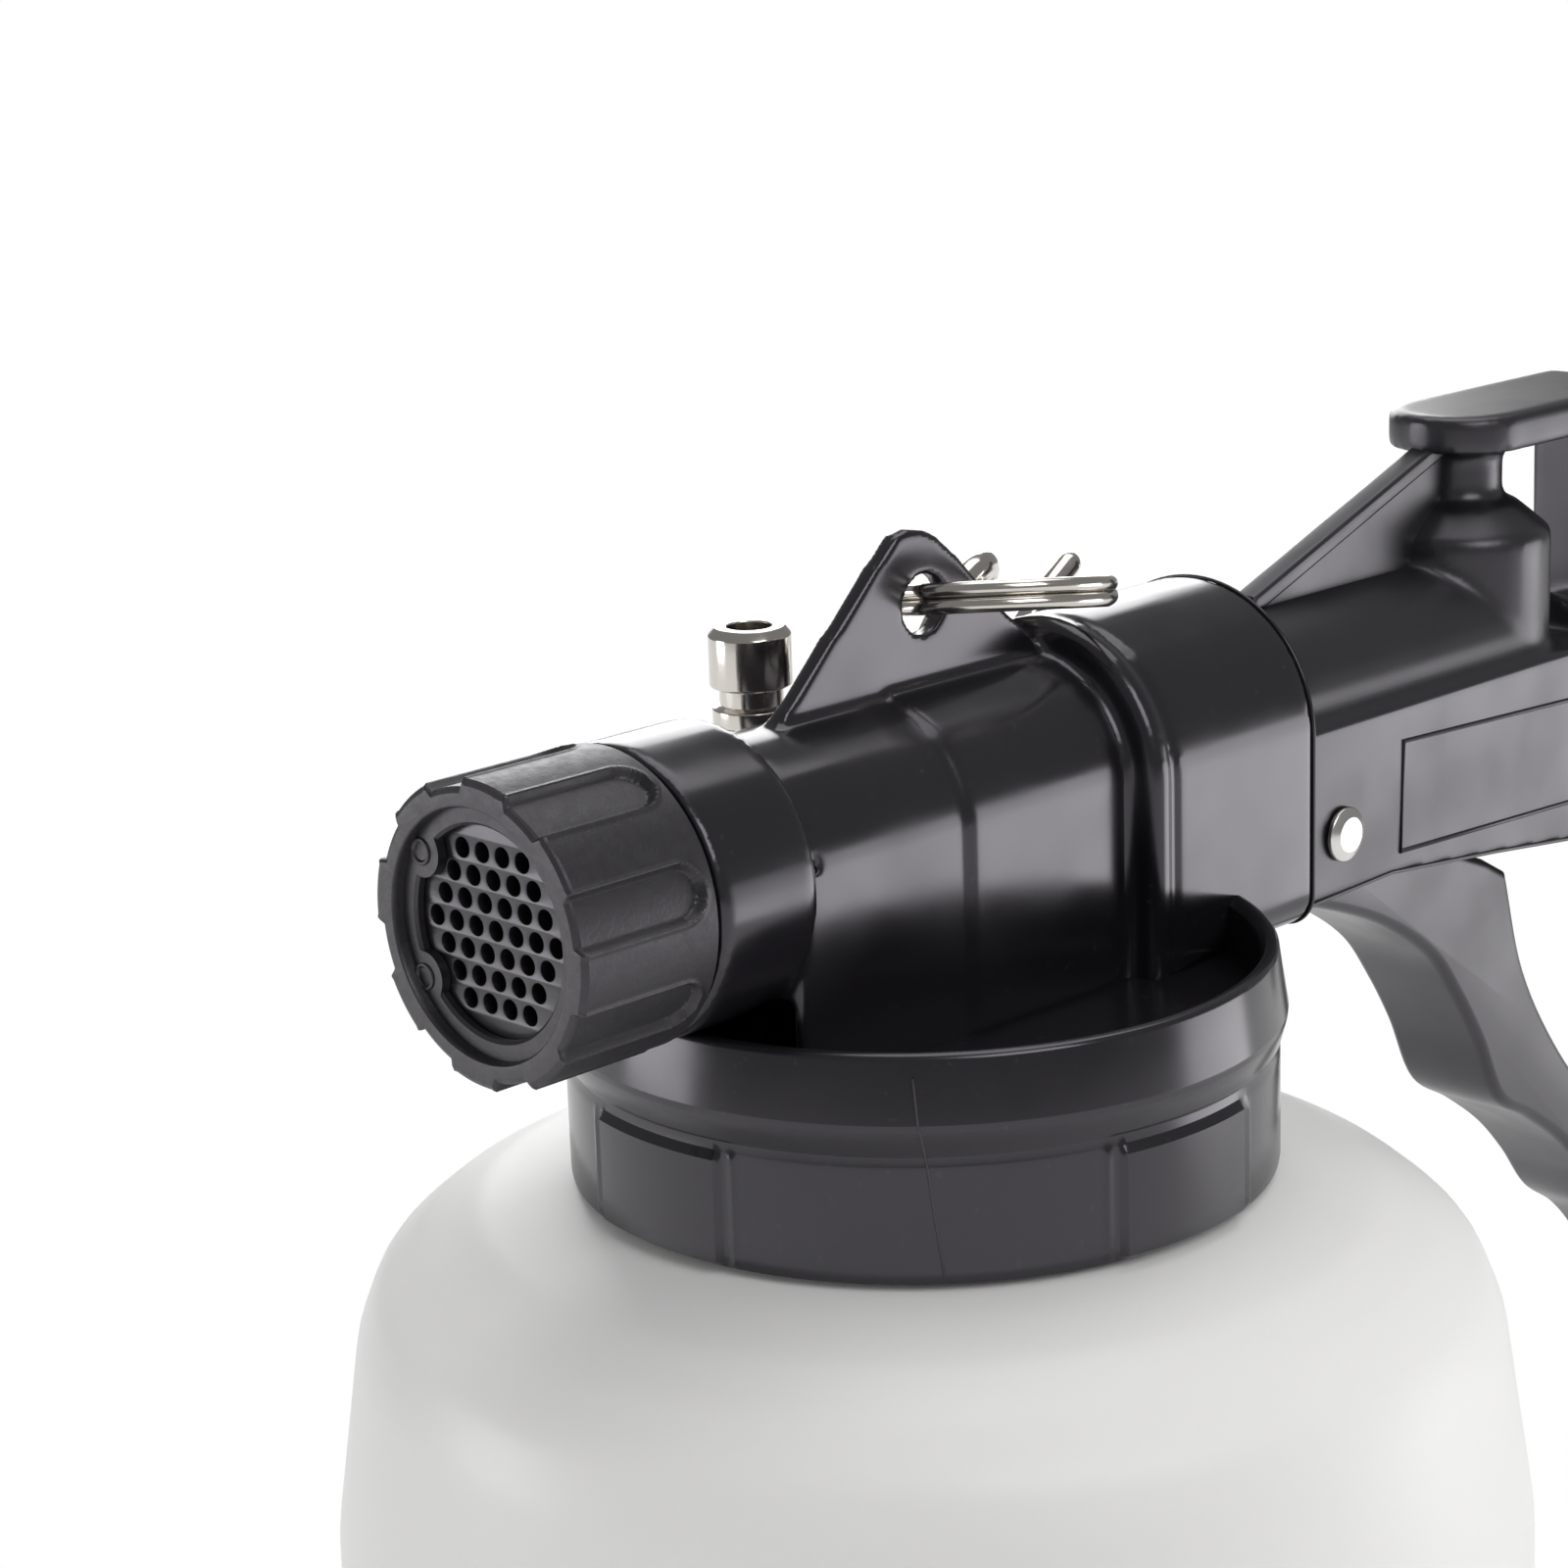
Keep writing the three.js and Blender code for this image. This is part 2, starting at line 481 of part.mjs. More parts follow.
// ---- gun body -----------------------------------------------------------------------------
// The grip has its own axes: "along" runs back down the grip, "out" is square to it.
const alongX = -Math.cos(GRIP_SLOPE);
const alongZ = -Math.sin(GRIP_SLOPE);
const outX = -Math.sin(GRIP_SLOPE);
const outZ = Math.cos(GRIP_SLOPE);
const gripPoint = (along, out) => [
  GRIP_REF_X + along * alongX + out * outX,
  GRIP_REF_Z + along * alongZ + out * outZ,
];
const ribTopAt = (x) => GRIP_REF_Z + (x - GRIP_REF_X) * Math.tan(GRIP_SLOPE);
// A section in (y, out) carried along the grip between two distances from the first rib.
const gripBasis = new THREE.Matrix4().makeBasis(
  new THREE.Vector3(0, 1, 0), new THREE.Vector3(outX, 0, outZ), new THREE.Vector3(alongX, 0, alongZ));
function gripBar(section, from, to) {
  const [x, z] = gripPoint(from, 0);
  return solid(extruded(section, to - from).applyMatrix4(gripBasis).translate(x, 0, z));
}
function gripRod(radius, from, to, out, sides = 24) {
  const [x, z] = gripPoint(from, out);
  return solid(new THREE.CylinderGeometry(radius, radius, to - from, sides)
    .rotateX(Math.PI / 2).translate(0, 0, (to - from) / 2).applyMatrix4(gripBasis).translate(x, 0, z));
}
const gripRodAbout = (solidOfRevolution, from, out) => {
  const [x, z] = gripPoint(from, out);
  return solidOfRevolution.applyMatrix4(gripBasis).translate(x, 0, z);
};
const flangeAlong = (RIB_COUNT - 1) * RIB_PITCH;
const valley = -RIB_PROUD;
const handleSection = [
  ...arc(0, valley - BODY_HALF, BODY_HALF, 0, 180, 14),
  [-BODY_HALF, -BLOCK_CHAMFER], [-BLOCK_HALF_LOW, -BLOCK_BOTTOM],
  [BLOCK_HALF_LOW, -BLOCK_BOTTOM], [BODY_HALF, -BLOCK_CHAMFER],
];
const skirtSection = [
  ...arc(0, valley - BODY_HALF, BODY_HALF, 0, 180, 14), [-BODY_HALF, -50], [BODY_HALF, -50],
];
const ribSection = (half, depth) => [
  ...arc(0, -half, half, 0, 180, 14), [-half, -depth], [half, -depth],
];
const blockFrontAlong = (BLOCK_FRONT_X - GRIP_REF_X + BLOCK_BOTTOM * outX) / alongX;
const blockAlong = blockFrontAlong - 12;

const bodyFront = SLEEVE_BACK - CLEARANCE;
const noseFront = SOCKET_FLOOR - CLEARANCE;
let gun = bar(archSection(BODY_HALF, NOSE_BOTTOM, 0), bodyFront - 2, noseFront);
gun = gun.add(rodX(SPINE_RADIUS, TOWER_X, bodyFront, BARREL_Z, 0, 40));

const skirt = [
  [bodyFront, -6.5], [-65, -6], [-100.7, -10], [-121, -9.6], [-168, -28], [-173, -33.5],
  [BLOCK_FRONT_X, ribTopAt(BLOCK_FRONT_X) - BLOCK_BOTTOM / outZ],
];
const rearPlane = gripPoint(flangeAlong, -60);
const sideCut = slab([
  ...skirt, rearPlane, gripPoint(flangeAlong, 10), [TOWER_X, 40], [bodyFront, 30],
], -20, 20);
let hull = box(-104, bodyFront, -BODY_HALF, BODY_HALF, -20, LEDGE_Z);
hull = hull.add(gripBar(skirtSection, -42, blockAlong + 4));
hull = hull.add(gripBar(handleSection, blockAlong, flangeAlong));
gun = gun.add(hull.intersect(sideCut));

for (let i = 0; i < RIB_COUNT - 1; i += 1) {
  const along = i * RIB_PITCH;
  gun = gun.add(gripBar(ribSection(BODY_HALF + RIB_SIDE, RIB_DROP), along - RIB_WIDTH / 2, along + RIB_WIDTH / 2));
}
const flangeHalf = BODY_HALF + RIB_SIDE;
gun = gun.add(gripBar([
  ...arc(0, -flangeHalf, flangeHalf, 0, 180, 14),
  [-flangeHalf, -BLOCK_CHAMFER], [-BLOCK_HALF_LOW - 1, -BLOCK_BOTTOM - 1.6],
  [BLOCK_HALF_LOW + 1, -BLOCK_BOTTOM - 1.6], [flangeHalf, -BLOCK_CHAMFER],
], flangeAlong - 2, flangeAlong + 2));

// Tower, post, hanging loop and its gusset.
gun = gun.add(turned([[0, 8], [TOWER_RADIUS, 8], [TOWER_RADIUS, TOWER_TOP], [6.5, TOWER_TOP + 3.5],
  [0, TOWER_TOP + 3.5]], 36).translate([TOWER_X, 0, 0]));
gun = gun.add(rodZ(POST_RADIUS, 20, LOOP_TOP - 2, TOWER_X, 0, 28));
const loopBottom = LOOP_TOP - LOOP_THICKNESS;
gun = gun.add(slab([
  [-95, loopBottom], [-95, LOOP_TOP], [LOOP_BACK_X + 6, LOOP_TOP], ...arc(LOOP_BACK_X + 6, LOOP_TOP - 6, 6, 100, 170, 5),
  [-131.5, 10], [-123, 12], [-122.4, loopBottom - 1], [-121.4, loopBottom],
], -LOOP_HALF, LOOP_HALF));
gun = gun.add(rodZ(LOOP_HALF, loopBottom, LOOP_TOP, -95, 0, 36));
const gussetHalf = 1;
gun = gun.add(slab([[-52.5, 22], [-52.5, 25.2], [-53.9, 26.6], [-90, 39.5], [-95, 40.5], [-95, 20]],
  -gussetHalf, gussetHalf));
gun = gun.add(slab([[-53.2, 24.6], [-53.9, 26.6], [-90, 39.5], [-91, 39.8], [-91, 37.2], [-56.5, 24.6]], -1.5, 1.5));

// Clip bosses near the flange.
gun = gun.add(rodY(2.9, -BODY_HALF - 0.4, BODY_HALF + 0.4, CLIP_X, CLIP_Z, 16));

// The grip is a thin shell: hollow from the slot back to the inlet socket, with the air duct
// hung from its roof on a web.
const socketRadius = 7.4;
const socketDepth = 16;
const chamberAlong = (GRIP_REF_X - VALVE_X) / Math.cos(GRIP_SLOPE);
const shellWall = 2.4;
const innerHalf = BODY_HALF - shellWall;
const hollowTop = valley - BODY_HALF;
const ductRadius = 5.2;
const hollowEnd = flangeAlong - socketDepth - 4;
gun = gun.subtract(gripBar([
  ...arc(0, hollowTop, innerHalf, 0, 180, 12), [-innerHalf, -50], [innerHalf, -50],
], -26, blockAlong + 1));
gun = gun.subtract(gripBar([
  ...arc(0, hollowTop, innerHalf, 0, 180, 12), [-innerHalf, -BLOCK_CHAMFER + 0.5],
  [-BLOCK_HALF_LOW + 2, -BLOCK_BOTTOM + shellWall], [BLOCK_HALF_LOW - 2, -BLOCK_BOTTOM + shellWall],
  [innerHalf, -BLOCK_CHAMFER + 0.5],
], blockFrontAlong + 3, hollowEnd));
gun = gun.subtract(gripBar([
  ...arc(0, hollowTop, innerHalf, 0, 180, 12), [-innerHalf, -BLOCK_CHAMFER + 0.5], [innerHalf, -BLOCK_CHAMFER + 0.5],
], blockAlong, blockFrontAlong + 4));
gun = gun.subtract(box(-104, -84, -7.5, 7.5, 0, 19.5));

// Trigger slot, open below; its roof carries the valve.
const roof = (x) => ribTopAt(x) - 19.1;
const slot = [
  [-49, -60], [-49, 5.4], [-63.5, 5.4], [-63.5, 3.2], [-80.5, 3.2], [-80.5, 6.6], [-94, 6.6],
  [-98, roof(-98)], [-168, roof(-168)], [BLOCK_FRONT_X + 1.5, roof(-168) - 6], [BLOCK_FRONT_X + 1.5, -60],
];
gun = gun.subtract(slab(slot, -CHANNEL_HALF, CHANNEL_HALF));
gun = gun.add(gripRod(ductRadius, chamberAlong + 4, hollowEnd + 2, -INLET_DROP, 20));
gun = gun.add(gripBar([[-1, -INLET_DROP], [-1, valley - 1], [1, valley - 1], [1, -INLET_DROP]], -30, hollowEnd + 2));
gun = gun.subtract(rodY(PIVOT_RADIUS + CLEARANCE, -14, 14, PIVOT_X, PIVOT_Z, 16));
gun = gun.subtract(rodY(CLIP_WIRE + CLEARANCE, -15, 15, CLIP_X, CLIP_Z, 12));

// Air ways: inlet socket and bore, valve chamber, outlet to the nose.
gun = gun.subtract(gripRod(socketRadius, flangeAlong + 2 - socketDepth, flangeAlong + 4, -INLET_DROP, 32));
gun = gun.subtract(gripRod(3, chamberAlong + 1, flangeAlong - 6, -INLET_DROP, 20));
gun = gun.subtract(rodZ(GLAND_RADIUS + CLEARANCE, 0, GLAND_TOP + CLEARANCE, VALVE_X, 0, 28));
gun = gun.subtract(rodZ(CHAMBER_RADIUS, GLAND_TOP, CHAMBER_TOP, VALVE_X, 0, 28));
const portZ = 7.4;
const portRadius = 1.2;
gun = gun.subtract(rodX(portRadius, VALVE_X + 4, -58, portZ, 0, 12));
gun = gun.subtract(rodZ(1.5, portZ, BARREL_Z, -58, 0, 14));
gun = gun.subtract(rodX(4, -60, noseFront + 1, BARREL_Z, 0, 20));
const faceRingMinor = 1;
const faceRingMajor = 5.8;
const faceGrooveDepth = 2 * faceRingMinor + 2 * CLEARANCE;
gun = gun.subtract(rodX(faceRingMajor + faceRingMinor + CLEARANCE, noseFront - faceGrooveDepth, noseFront + 1,
  BARREL_Z, 0, 28));
addPart(upper, 'gun_body', geometryOf(gun), BLACK_SATIN);
const faceRing = addPart(upper, 'body_oring', ring(faceRingMajor, faceRingMinor, 6, 20), BLACK_RUBBER);
faceRing.rotation.y = Math.PI / 2;
faceRing.position.set(noseFront - faceGrooveDepth + CLEARANCE + faceRingMinor, 0, BARREL_Z);

// ---- brass inlet --------------------------------------------------------------------------
const flangeFace = flangeAlong + 2;
const inletLathe = (profile, sides) => gripRodAbout(
  new THREE.LatheGeometry(profile.map(([r, h]) => new THREE.Vector2(r, h)), sides).rotateX(Math.PI / 2),
  0, -INLET_DROP);
const sealFrom = flangeFace + CLEARANCE;
const inletSealThickness = 1.5;
const inletSeal = solid(inletLathe([
  [socketRadius, sealFrom], [10.6, sealFrom], [10.6, sealFrom + inletSealThickness],
  [socketRadius, sealFrom + inletSealThickness], [socketRadius, sealFrom],
], 28));
addPart(upper, 'inlet_seal', geometryOf(inletSeal), BLACK_RUBBER);

const hexFrom = sealFrom + inletSealThickness + CLEARANCE;
const inletEnd = flangeAlong + 16;
const shankRadius = socketRadius - CLEARANCE;
const shankEnd = flangeFace - socketDepth + 1;
const brassHex = solid(inletLathe([[0, hexFrom], [12, hexFrom], [12, hexFrom + 3.4], [0, hexFrom + 3.4]], 6));
const brassEnd = solid(inletLathe([[0, hexFrom + 5], [12, hexFrom + 5], [12, inletEnd], [0, inletEnd]], 6));
const brassCore = solid(inletLathe([
  [0, shankEnd], [shankRadius - 0.5, shankEnd], [shankRadius, shankEnd + 0.8], [shankRadius, hexFrom],
  [10.3, hexFrom], [10.3, inletEnd - 0.6], [9.6, inletEnd + 0.2], [0, inletEnd + 0.2],
], 24));
const inletBore = solid(inletLathe([
  [0, shankEnd - 1], [6.1, shankEnd - 1], [6.1, inletEnd - 10], [7.8, inletEnd - 8.6], [7.8, inletEnd + 2],
  [0, inletEnd + 2],
], 20));
addPart(upper, 'inlet_fitting', geometryOf(brassCore.add(brassHex).add(brassEnd).subtract(inletBore)), BRASS);
const screenFrom = shankEnd + 2;
const inletScreen = solid(inletLathe([
  [0, screenFrom], [5.8, screenFrom], [5.8, screenFrom + 1.2], [0, screenFrom + 1.2],
], 24));
addPart(upper, 'inlet_screen', geometryOf(inletScreen), STEEL);

// ---- valve --------------------------------------------------------------------------------
const glandBore = STEM_RADIUS + CLEARANCE;
const counterBore = 4;
const gland = turned([
  [counterBore, GLAND_BOTTOM], [GLAND_RADIUS, GLAND_BOTTOM], [GLAND_RADIUS, GLAND_TOP], [3.8, GLAND_TOP],
  [3.8, 6], [glandBore, 6], [glandBore, 5.4], [counterBore, 5.4], [counterBore, GLAND_BOTTOM],
], 28).subtract(rodX(portRadius, 2, 9, portZ, 0, 12));
addPart(upper, 'valve_seat', geometryOf(gland.translate([VALVE_X, 0, 0])), BRASS);
const stemRing = addPart(upper, 'stem_oring', ring(3.25, 0.45, 6, 20), BLACK_RUBBER);
stemRing.position.set(VALVE_X, 0, GLAND_BOTTOM + 1);

const poppetBottom = GLAND_TOP + CLEARANCE;
const poppetTop = poppetBottom + POPPET_THICKNESS;
const stem = turned([
  [0, STEM_END], [1.2, STEM_END + 0.15], [2.1, STEM_END + 0.8], [STEM_RADIUS, STEM_END + 2],
  [STEM_RADIUS, poppetBottom], [POPPET_RADIUS, poppetBottom], [POPPET_RADIUS, poppetTop],
  [1.5, poppetTop], [1.5, poppetTop + 3], [0, poppetTop + 3],
], 24).translate([VALVE_X, 0, 0]);
addPart(upper, 'valve_stem', geometryOf(stem), STEEL);

// Return spring: an unbroken helix whose ends run on for one wire's width.
const springBottom = poppetTop + CLEARANCE;
const springTop = CHAMBER_TOP - CLEARANCE;
const springRadius = 3;
const springMinor = SPRING_WIRE / 2;
class SpringLine extends THREE.Curve {
  getPoint(t, target = new THREE.Vector3()) {
    const total = SPRING_CURLS * 2 * Math.PI;
    const tail = SPRING_WIRE / springRadius;
    const angle = t * (total + 2 * tail) - tail;
    const inside = Math.min(Math.max(angle, 0), total);
    const run = (angle - inside) * springRadius;
    const rise = springTop - springBottom - SPRING_WIRE;
    return target.set(
      springRadius * Math.cos(inside) - run * Math.sin(inside),
      springRadius * Math.sin(inside) + run * Math.cos(inside),
      springBottom + springMinor + rise * inside / total);
  }
}
const springSteps = SPRING_CURLS * 8 + 2;
const springGeometry = new THREE.ExtrudeGeometry(
  new THREE.Shape(arc(0, 0, springMinor, 0, 288, 4).map(([a, b]) => new THREE.Vector2(a, b))),
  { steps: springSteps, bevelEnabled: false, extrudePath: new SpringLine() });
const curlGap = (springTop - springBottom - SPRING_WIRE) / SPRING_CURLS - SPRING_WIRE;
console.log(`valve_spring least gap between curls ${curlGap.toFixed(2)} mm`);
addPart(upper, 'valve_spring',
  geometryOf(solid(springGeometry).translate([VALVE_X, 0, 0])), STEEL);

// ---- trigger ------------------------------------------------------------------------------
const fingerEdge = [
  [-46.8, -7.9], [-58, -9.5], [-71, -14.5], [-81, -21], [-86, -27], [-90.7, -34], [-95.6, -43],
  [-102.5, -47.3], [-110, -52.7], [-115.6, -58.3], [-120.7, -64.5], [-127, -68.8], [-132.4, -74.2],
  [-137, -80.9], [-142.4, -86.6], [-147.9, -92.1], [-152.2, -99.4], [-153.7, -105.6], [-155, -112],
];
const backEdge = [
  [-157.9, -109.3], [-159.3, -102.5], [-156.6, -92.9], [-152.6, -85.3], [-142.9, -72.4], [-131.6, -62.1],
  [-120.3, -51.8], [-109, -40], [-100.6, -27.3], [-96.3, -13.8],
];
const padSlope = Math.tan(THREE.MathUtils.degToRad(11));
const padHeight = (x) => STEM_END - CLEARANCE + (x - VALVE_X) * padSlope;
const padEdge = [[-92, -11.4], [-82, padHeight(-82)], [-62, padHeight(-62)]];
const ear = arc(PIVOT_X, PIVOT_Z, EAR_RADIUS, 190, 20, 10);
const triggerOutline = [
  ...fingerEdge, ...backEdge, ...padEdge, ...ear, [-49.5, -3], [-49.5, -6.9], [-46.8, -7.1],
];
const triggerBlank = slab(triggerOutline, -TRIGGER_HALF, TRIGGER_HALF);
const lowerTrim = box(-170, -92, TRIGGER_HALF_LOW, 10, -120, -46)
  .add(box(-170, -92, -10, -TRIGGER_HALF_LOW, -120, -46));
const trigger = triggerBlank.subtract(lowerTrim)
  .subtract(rodY(PIVOT_RADIUS + CLEARANCE, -10, 10, PIVOT_X, PIVOT_Z, 16));
addPart(upper, 'trigger', geometryOf(trigger), BLACK_SATIN);

const pinHead = 1.2;
const headFace = BODY_HALF + CLEARANCE;
const triggerPin = solid(new THREE.LatheGeometry([
  [0, -headFace - pinHead], [2.4, -headFace - pinHead], [3.1, -headFace - 0.5], [3.1, -headFace],
  [PIVOT_RADIUS, -headFace], [PIVOT_RADIUS, headFace], [2.8, headFace], [2.8, headFace + 0.5],
  [2.2, headFace + 1], [0, headFace + 1],
].map(([r, h]) => new THREE.Vector2(r, h)), 24).translate(PIVOT_X, 0, PIVOT_Z));
addPart(upper, 'trigger_pin', geometryOf(triggerPin), STEEL);

// ---- wire clip ----------------------------------------------------------------------------
// Centre line of the bent wire, as half-widths at distances below the pivot.
const clipHalfLine = [
  [BODY_HALF - 3, 0], [BODY_HALF + 0.6, 0], [14.1, 0.8], [14.2, 2.6], [14, 7], [13.6, 12], [12.7, 18], [11.6, 24],
  [9.2, 29], [8.4, 34], [7.6, 39], [7, 42], [6.2, 46.4], [3.6, 49.8],
];
const clipLine = [
  ...clipHalfLine.map(([half, drop]) => [CLIP_X, -half, CLIP_Z - drop]),
  [CLIP_X, 0, CLIP_Z - 51],
  ...clipHalfLine.slice().reverse().map(([half, drop]) => [CLIP_X, half, CLIP_Z - drop]),
];
const clipGeometry = solid(bentBar(clipLine, CLIP_WIRE, 6, 52));
addPart(upper, 'trigger_clip', geometryOf(clipGeometry), NICKEL);

// ---- split ring and hanging hook ----------------------------------------------------------
const ringAxis = new THREE.Vector3(-0.14, -0.16, 0.977).normalize();
const ringCentre = new THREE.Vector3(-11.8, 1.1, 34);
const ringSection = [
  ...arc(RING_RADIUS, RING_WIRE, RING_WIRE, 0, 180, 4), ...arc(RING_RADIUS, -RING_WIRE, RING_WIRE, 180, 360, 4),
];
const ringSolid = solid(new THREE.LatheGeometry(
  [...ringSection, ringSection[0]].map(([r, h]) => new THREE.Vector2(r, h)), 32)
  .rotateX(Math.PI / 2)
  .applyQuaternion(new THREE.Quaternion().setFromUnitVectors(new THREE.Vector3(0, 0, 1), ringAxis))
  .translate(ringCentre.x, ringCentre.y, ringCentre.z));
addPart(upper, 'split_ring', geometryOf(ringSolid), NICKEL);

// The hook's eye hangs on the far side of the ring and its shank hangs down beside the sleeve.
const ringU = new THREE.Vector3(0, 1, 0).cross(ringAxis).normalize();
const ringV = ringAxis.clone().cross(ringU);
const hookPlace = ringCentre.clone()
  .addScaledVector(ringU, RING_RADIUS * Math.cos(HOOK_ROUND_RING))
  .addScaledVector(ringV, RING_RADIUS * Math.sin(HOOK_ROUND_RING));
const hookDown = new THREE.Vector3(
  Math.cos(HOOK_FALL) * Math.cos(HOOK_HEADING), Math.cos(HOOK_FALL) * Math.sin(HOOK_HEADING), -Math.sin(HOOK_FALL));
const levelSide = hookDown.clone().cross(new THREE.Vector3(0, 0, 1)).normalize();
const hookSide = levelSide.clone().multiplyScalar(Math.cos(HOOK_ROLL))
  .addScaledVector(hookDown.clone().cross(levelSide), Math.sin(HOOK_ROLL));
const eyeCentre = hookPlace.clone()
  .addScaledVector(hookDown, HOOK_EYE - HOOK_WIRE - 2 * RING_WIRE - CLEARANCE);
const eyeArc = arc(0, -HOOK_EYE, HOOK_EYE, -58, -330, 10);
const shankAndCrook = [
  [0, 0.6], [0.4, 3.9], [1.5, 9.9], [3.7, 16], [7, 22.6], [10.3, 28.7], [11.4, 32.5], [10.3, 36.4],
  [7, 40.2], [2.6, 42.4], [-1.8, 42.7], [-6.8, 41.6], [-11.2, 38.8], [-15.6, 34.7], [-20, 30.3], [-24.4, 27.6],
  [-28.8, 26.4], [-33.5, 26.4],
];
const hookPoint = ([across, down]) => eyeCentre.clone()
  .addScaledVector(hookDown, down + HOOK_EYE)
  .addScaledVector(hookSide, across).toArray();
const hookLine = [...eyeArc, ...shankAndCrook].map(hookPoint);
const hookSolid = solid(bentBar(hookLine, HOOK_WIRE, 6, 64));
addPart(upper, 'hang_hook', geometryOf(hookSolid), NICKEL);

export default part;
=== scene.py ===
import math

import bmesh
import bpy
from mathutils import Matrix, Vector


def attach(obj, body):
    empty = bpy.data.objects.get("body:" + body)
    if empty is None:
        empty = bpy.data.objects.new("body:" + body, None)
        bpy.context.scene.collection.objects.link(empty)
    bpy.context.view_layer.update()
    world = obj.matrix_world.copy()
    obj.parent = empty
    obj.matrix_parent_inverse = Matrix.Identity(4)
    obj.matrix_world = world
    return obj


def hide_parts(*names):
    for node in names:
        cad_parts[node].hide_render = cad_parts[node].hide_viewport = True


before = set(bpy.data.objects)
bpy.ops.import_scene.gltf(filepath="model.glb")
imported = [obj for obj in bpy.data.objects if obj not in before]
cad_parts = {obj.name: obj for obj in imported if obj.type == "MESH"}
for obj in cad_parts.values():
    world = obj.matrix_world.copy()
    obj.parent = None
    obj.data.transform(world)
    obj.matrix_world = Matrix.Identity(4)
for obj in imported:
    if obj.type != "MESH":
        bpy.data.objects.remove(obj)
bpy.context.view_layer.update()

# ---- camera, floor and light -----------------------------------------------------------------
# The object is seen from the front left, a little above the cap, on a plain white floor. Sizes are
# in millimetres; heights count from the cap's rim, which lies RIM_HEIGHT above the floor.
MM = 0.001
RIM_HEIGHT = 205
CAMERA_PLACE = (261.2, 247.2, 112.1)
CAMERA_AZIMUTH = math.radians(45.556)
CAMERA_ELEVATION = math.radians(14.848)
CAMERA_ROLL = math.radians(-1.986)
CAMERA_LENS = 83.68
CAMERA_SENSOR = 36
FLOOR_RADIUS = 1.6
FLOOR_DROP = 0.0004
FLOOR_WHITE = 0.93
FLOOR_SHADOW_ENDS = (0.12, 0.3)  # metres from the object, where the shadow begins and ends to fade
ROOM_LEVEL = 0.32
ROOM_LESS_IN_GLOSS = -0.06
LAMPS_AIM = Vector((-0.03, 0, 0.19))
LAMPS = [  # name, place in metres, size, watts
    ("key_softbox", (0.15, 0.75, 0.85), 0.55, 3.3),
    ("side_softbox", (-0.49, 0.37, 0.06), 0.34, 1.1),
    ("top_softbox", (-0.25, -0.1, 1.05), 0.7, 2.7),
    ("nose_softbox", (0.9, -0.85, 0.08), 0.6, 5.0),
    ("back_softbox", (-0.7, -0.8, 0.5), 0.6, 4.5),
]


def place(point):
    """A point in millimetres from the rim, as metres from the floor."""
    x, y, z = point
    return Vector((x * MM, y * MM, (z + RIM_HEIGHT) * MM))


def view_matrix():
    """Where the camera stands and how it is turned."""
    out = Vector((
        math.cos(CAMERA_AZIMUTH) * math.cos(CAMERA_ELEVATION),
        math.sin(CAMERA_AZIMUTH) * math.cos(CAMERA_ELEVATION),
        math.sin(CAMERA_ELEVATION)))
    level = (-out).cross(Vector((0, 0, 1))).normalized()
    upright = level.cross(-out)
    right = math.cos(CAMERA_ROLL) * level + math.sin(CAMERA_ROLL) * upright
    up = -math.sin(CAMERA_ROLL) * level + math.cos(CAMERA_ROLL) * upright
    turn = Matrix((right, up, out)).transposed().to_4x4()
    return Matrix.Translation(place(CAMERA_PLACE)) @ turn


scene = bpy.context.scene
scene.view_settings.view_transform = "Standard"
camera_data = bpy.data.cameras.new("camera")
camera_data.lens = CAMERA_LENS
camera_data.sensor_width = CAMERA_SENSOR
camera = bpy.data.objects.new("camera", camera_data)
camera.matrix_world = view_matrix()
scene.collection.objects.link(camera)
scene.camera = camera

for lamp_name, lamp_place, lamp_size, watts in LAMPS:
    lamp_data = bpy.data.lights.new(lamp_name, "AREA")
    lamp_data.size = lamp_size
    lamp_data.energy = watts
    lamp = bpy.data.objects.new(lamp_name, lamp_data)
    lamp.location = lamp_place
    lamp.visible_camera = False
    aim = LAMPS_AIM - Vector(lamp_place)
    lamp.rotation_euler = aim.to_track_quat("-Z", "Y").to_euler()
    scene.collection.objects.link(lamp)


def math_node(tree, operation, *values):
    """The output of a Math node whose values are numbers or other nodes' outputs."""
    node = tree.nodes.new("ShaderNodeMath")
    node.operation = operation
    for socket, value in zip(node.inputs, values):
        if isinstance(value, bpy.types.NodeSocket):
            tree.links.new(value, socket)
        else:
            socket.default_value = value
    return node.outputs[0]


def ray_kinds(tree):
    """Two outputs: 1 for rays from the camera or through clear plastic, and 1 for rays off a gloss."""
    path = tree.nodes.new("ShaderNodeLightPath")
    first = math_node(tree, "MAXIMUM", path.outputs["Is Camera Ray"], path.outputs["Is Transmission Ray"])
    return first, path.outputs["Is Glossy Ray"]


world = bpy.data.worlds.new("white_room")
world.use_nodes = True
scene.world = world
room = world.node_tree
sky = room.nodes["Background"]
direct, glossy = ray_kinds(room)
room_level = math_node(room, "MULTIPLY_ADD", glossy, ROOM_LESS_IN_GLOSS, ROOM_LEVEL)
room.links.new(math_node(room, "MAXIMUM", direct, room_level), sky.inputs["Strength"])
sky.inputs["Color"].default_value = (1, 1, 1, 1)

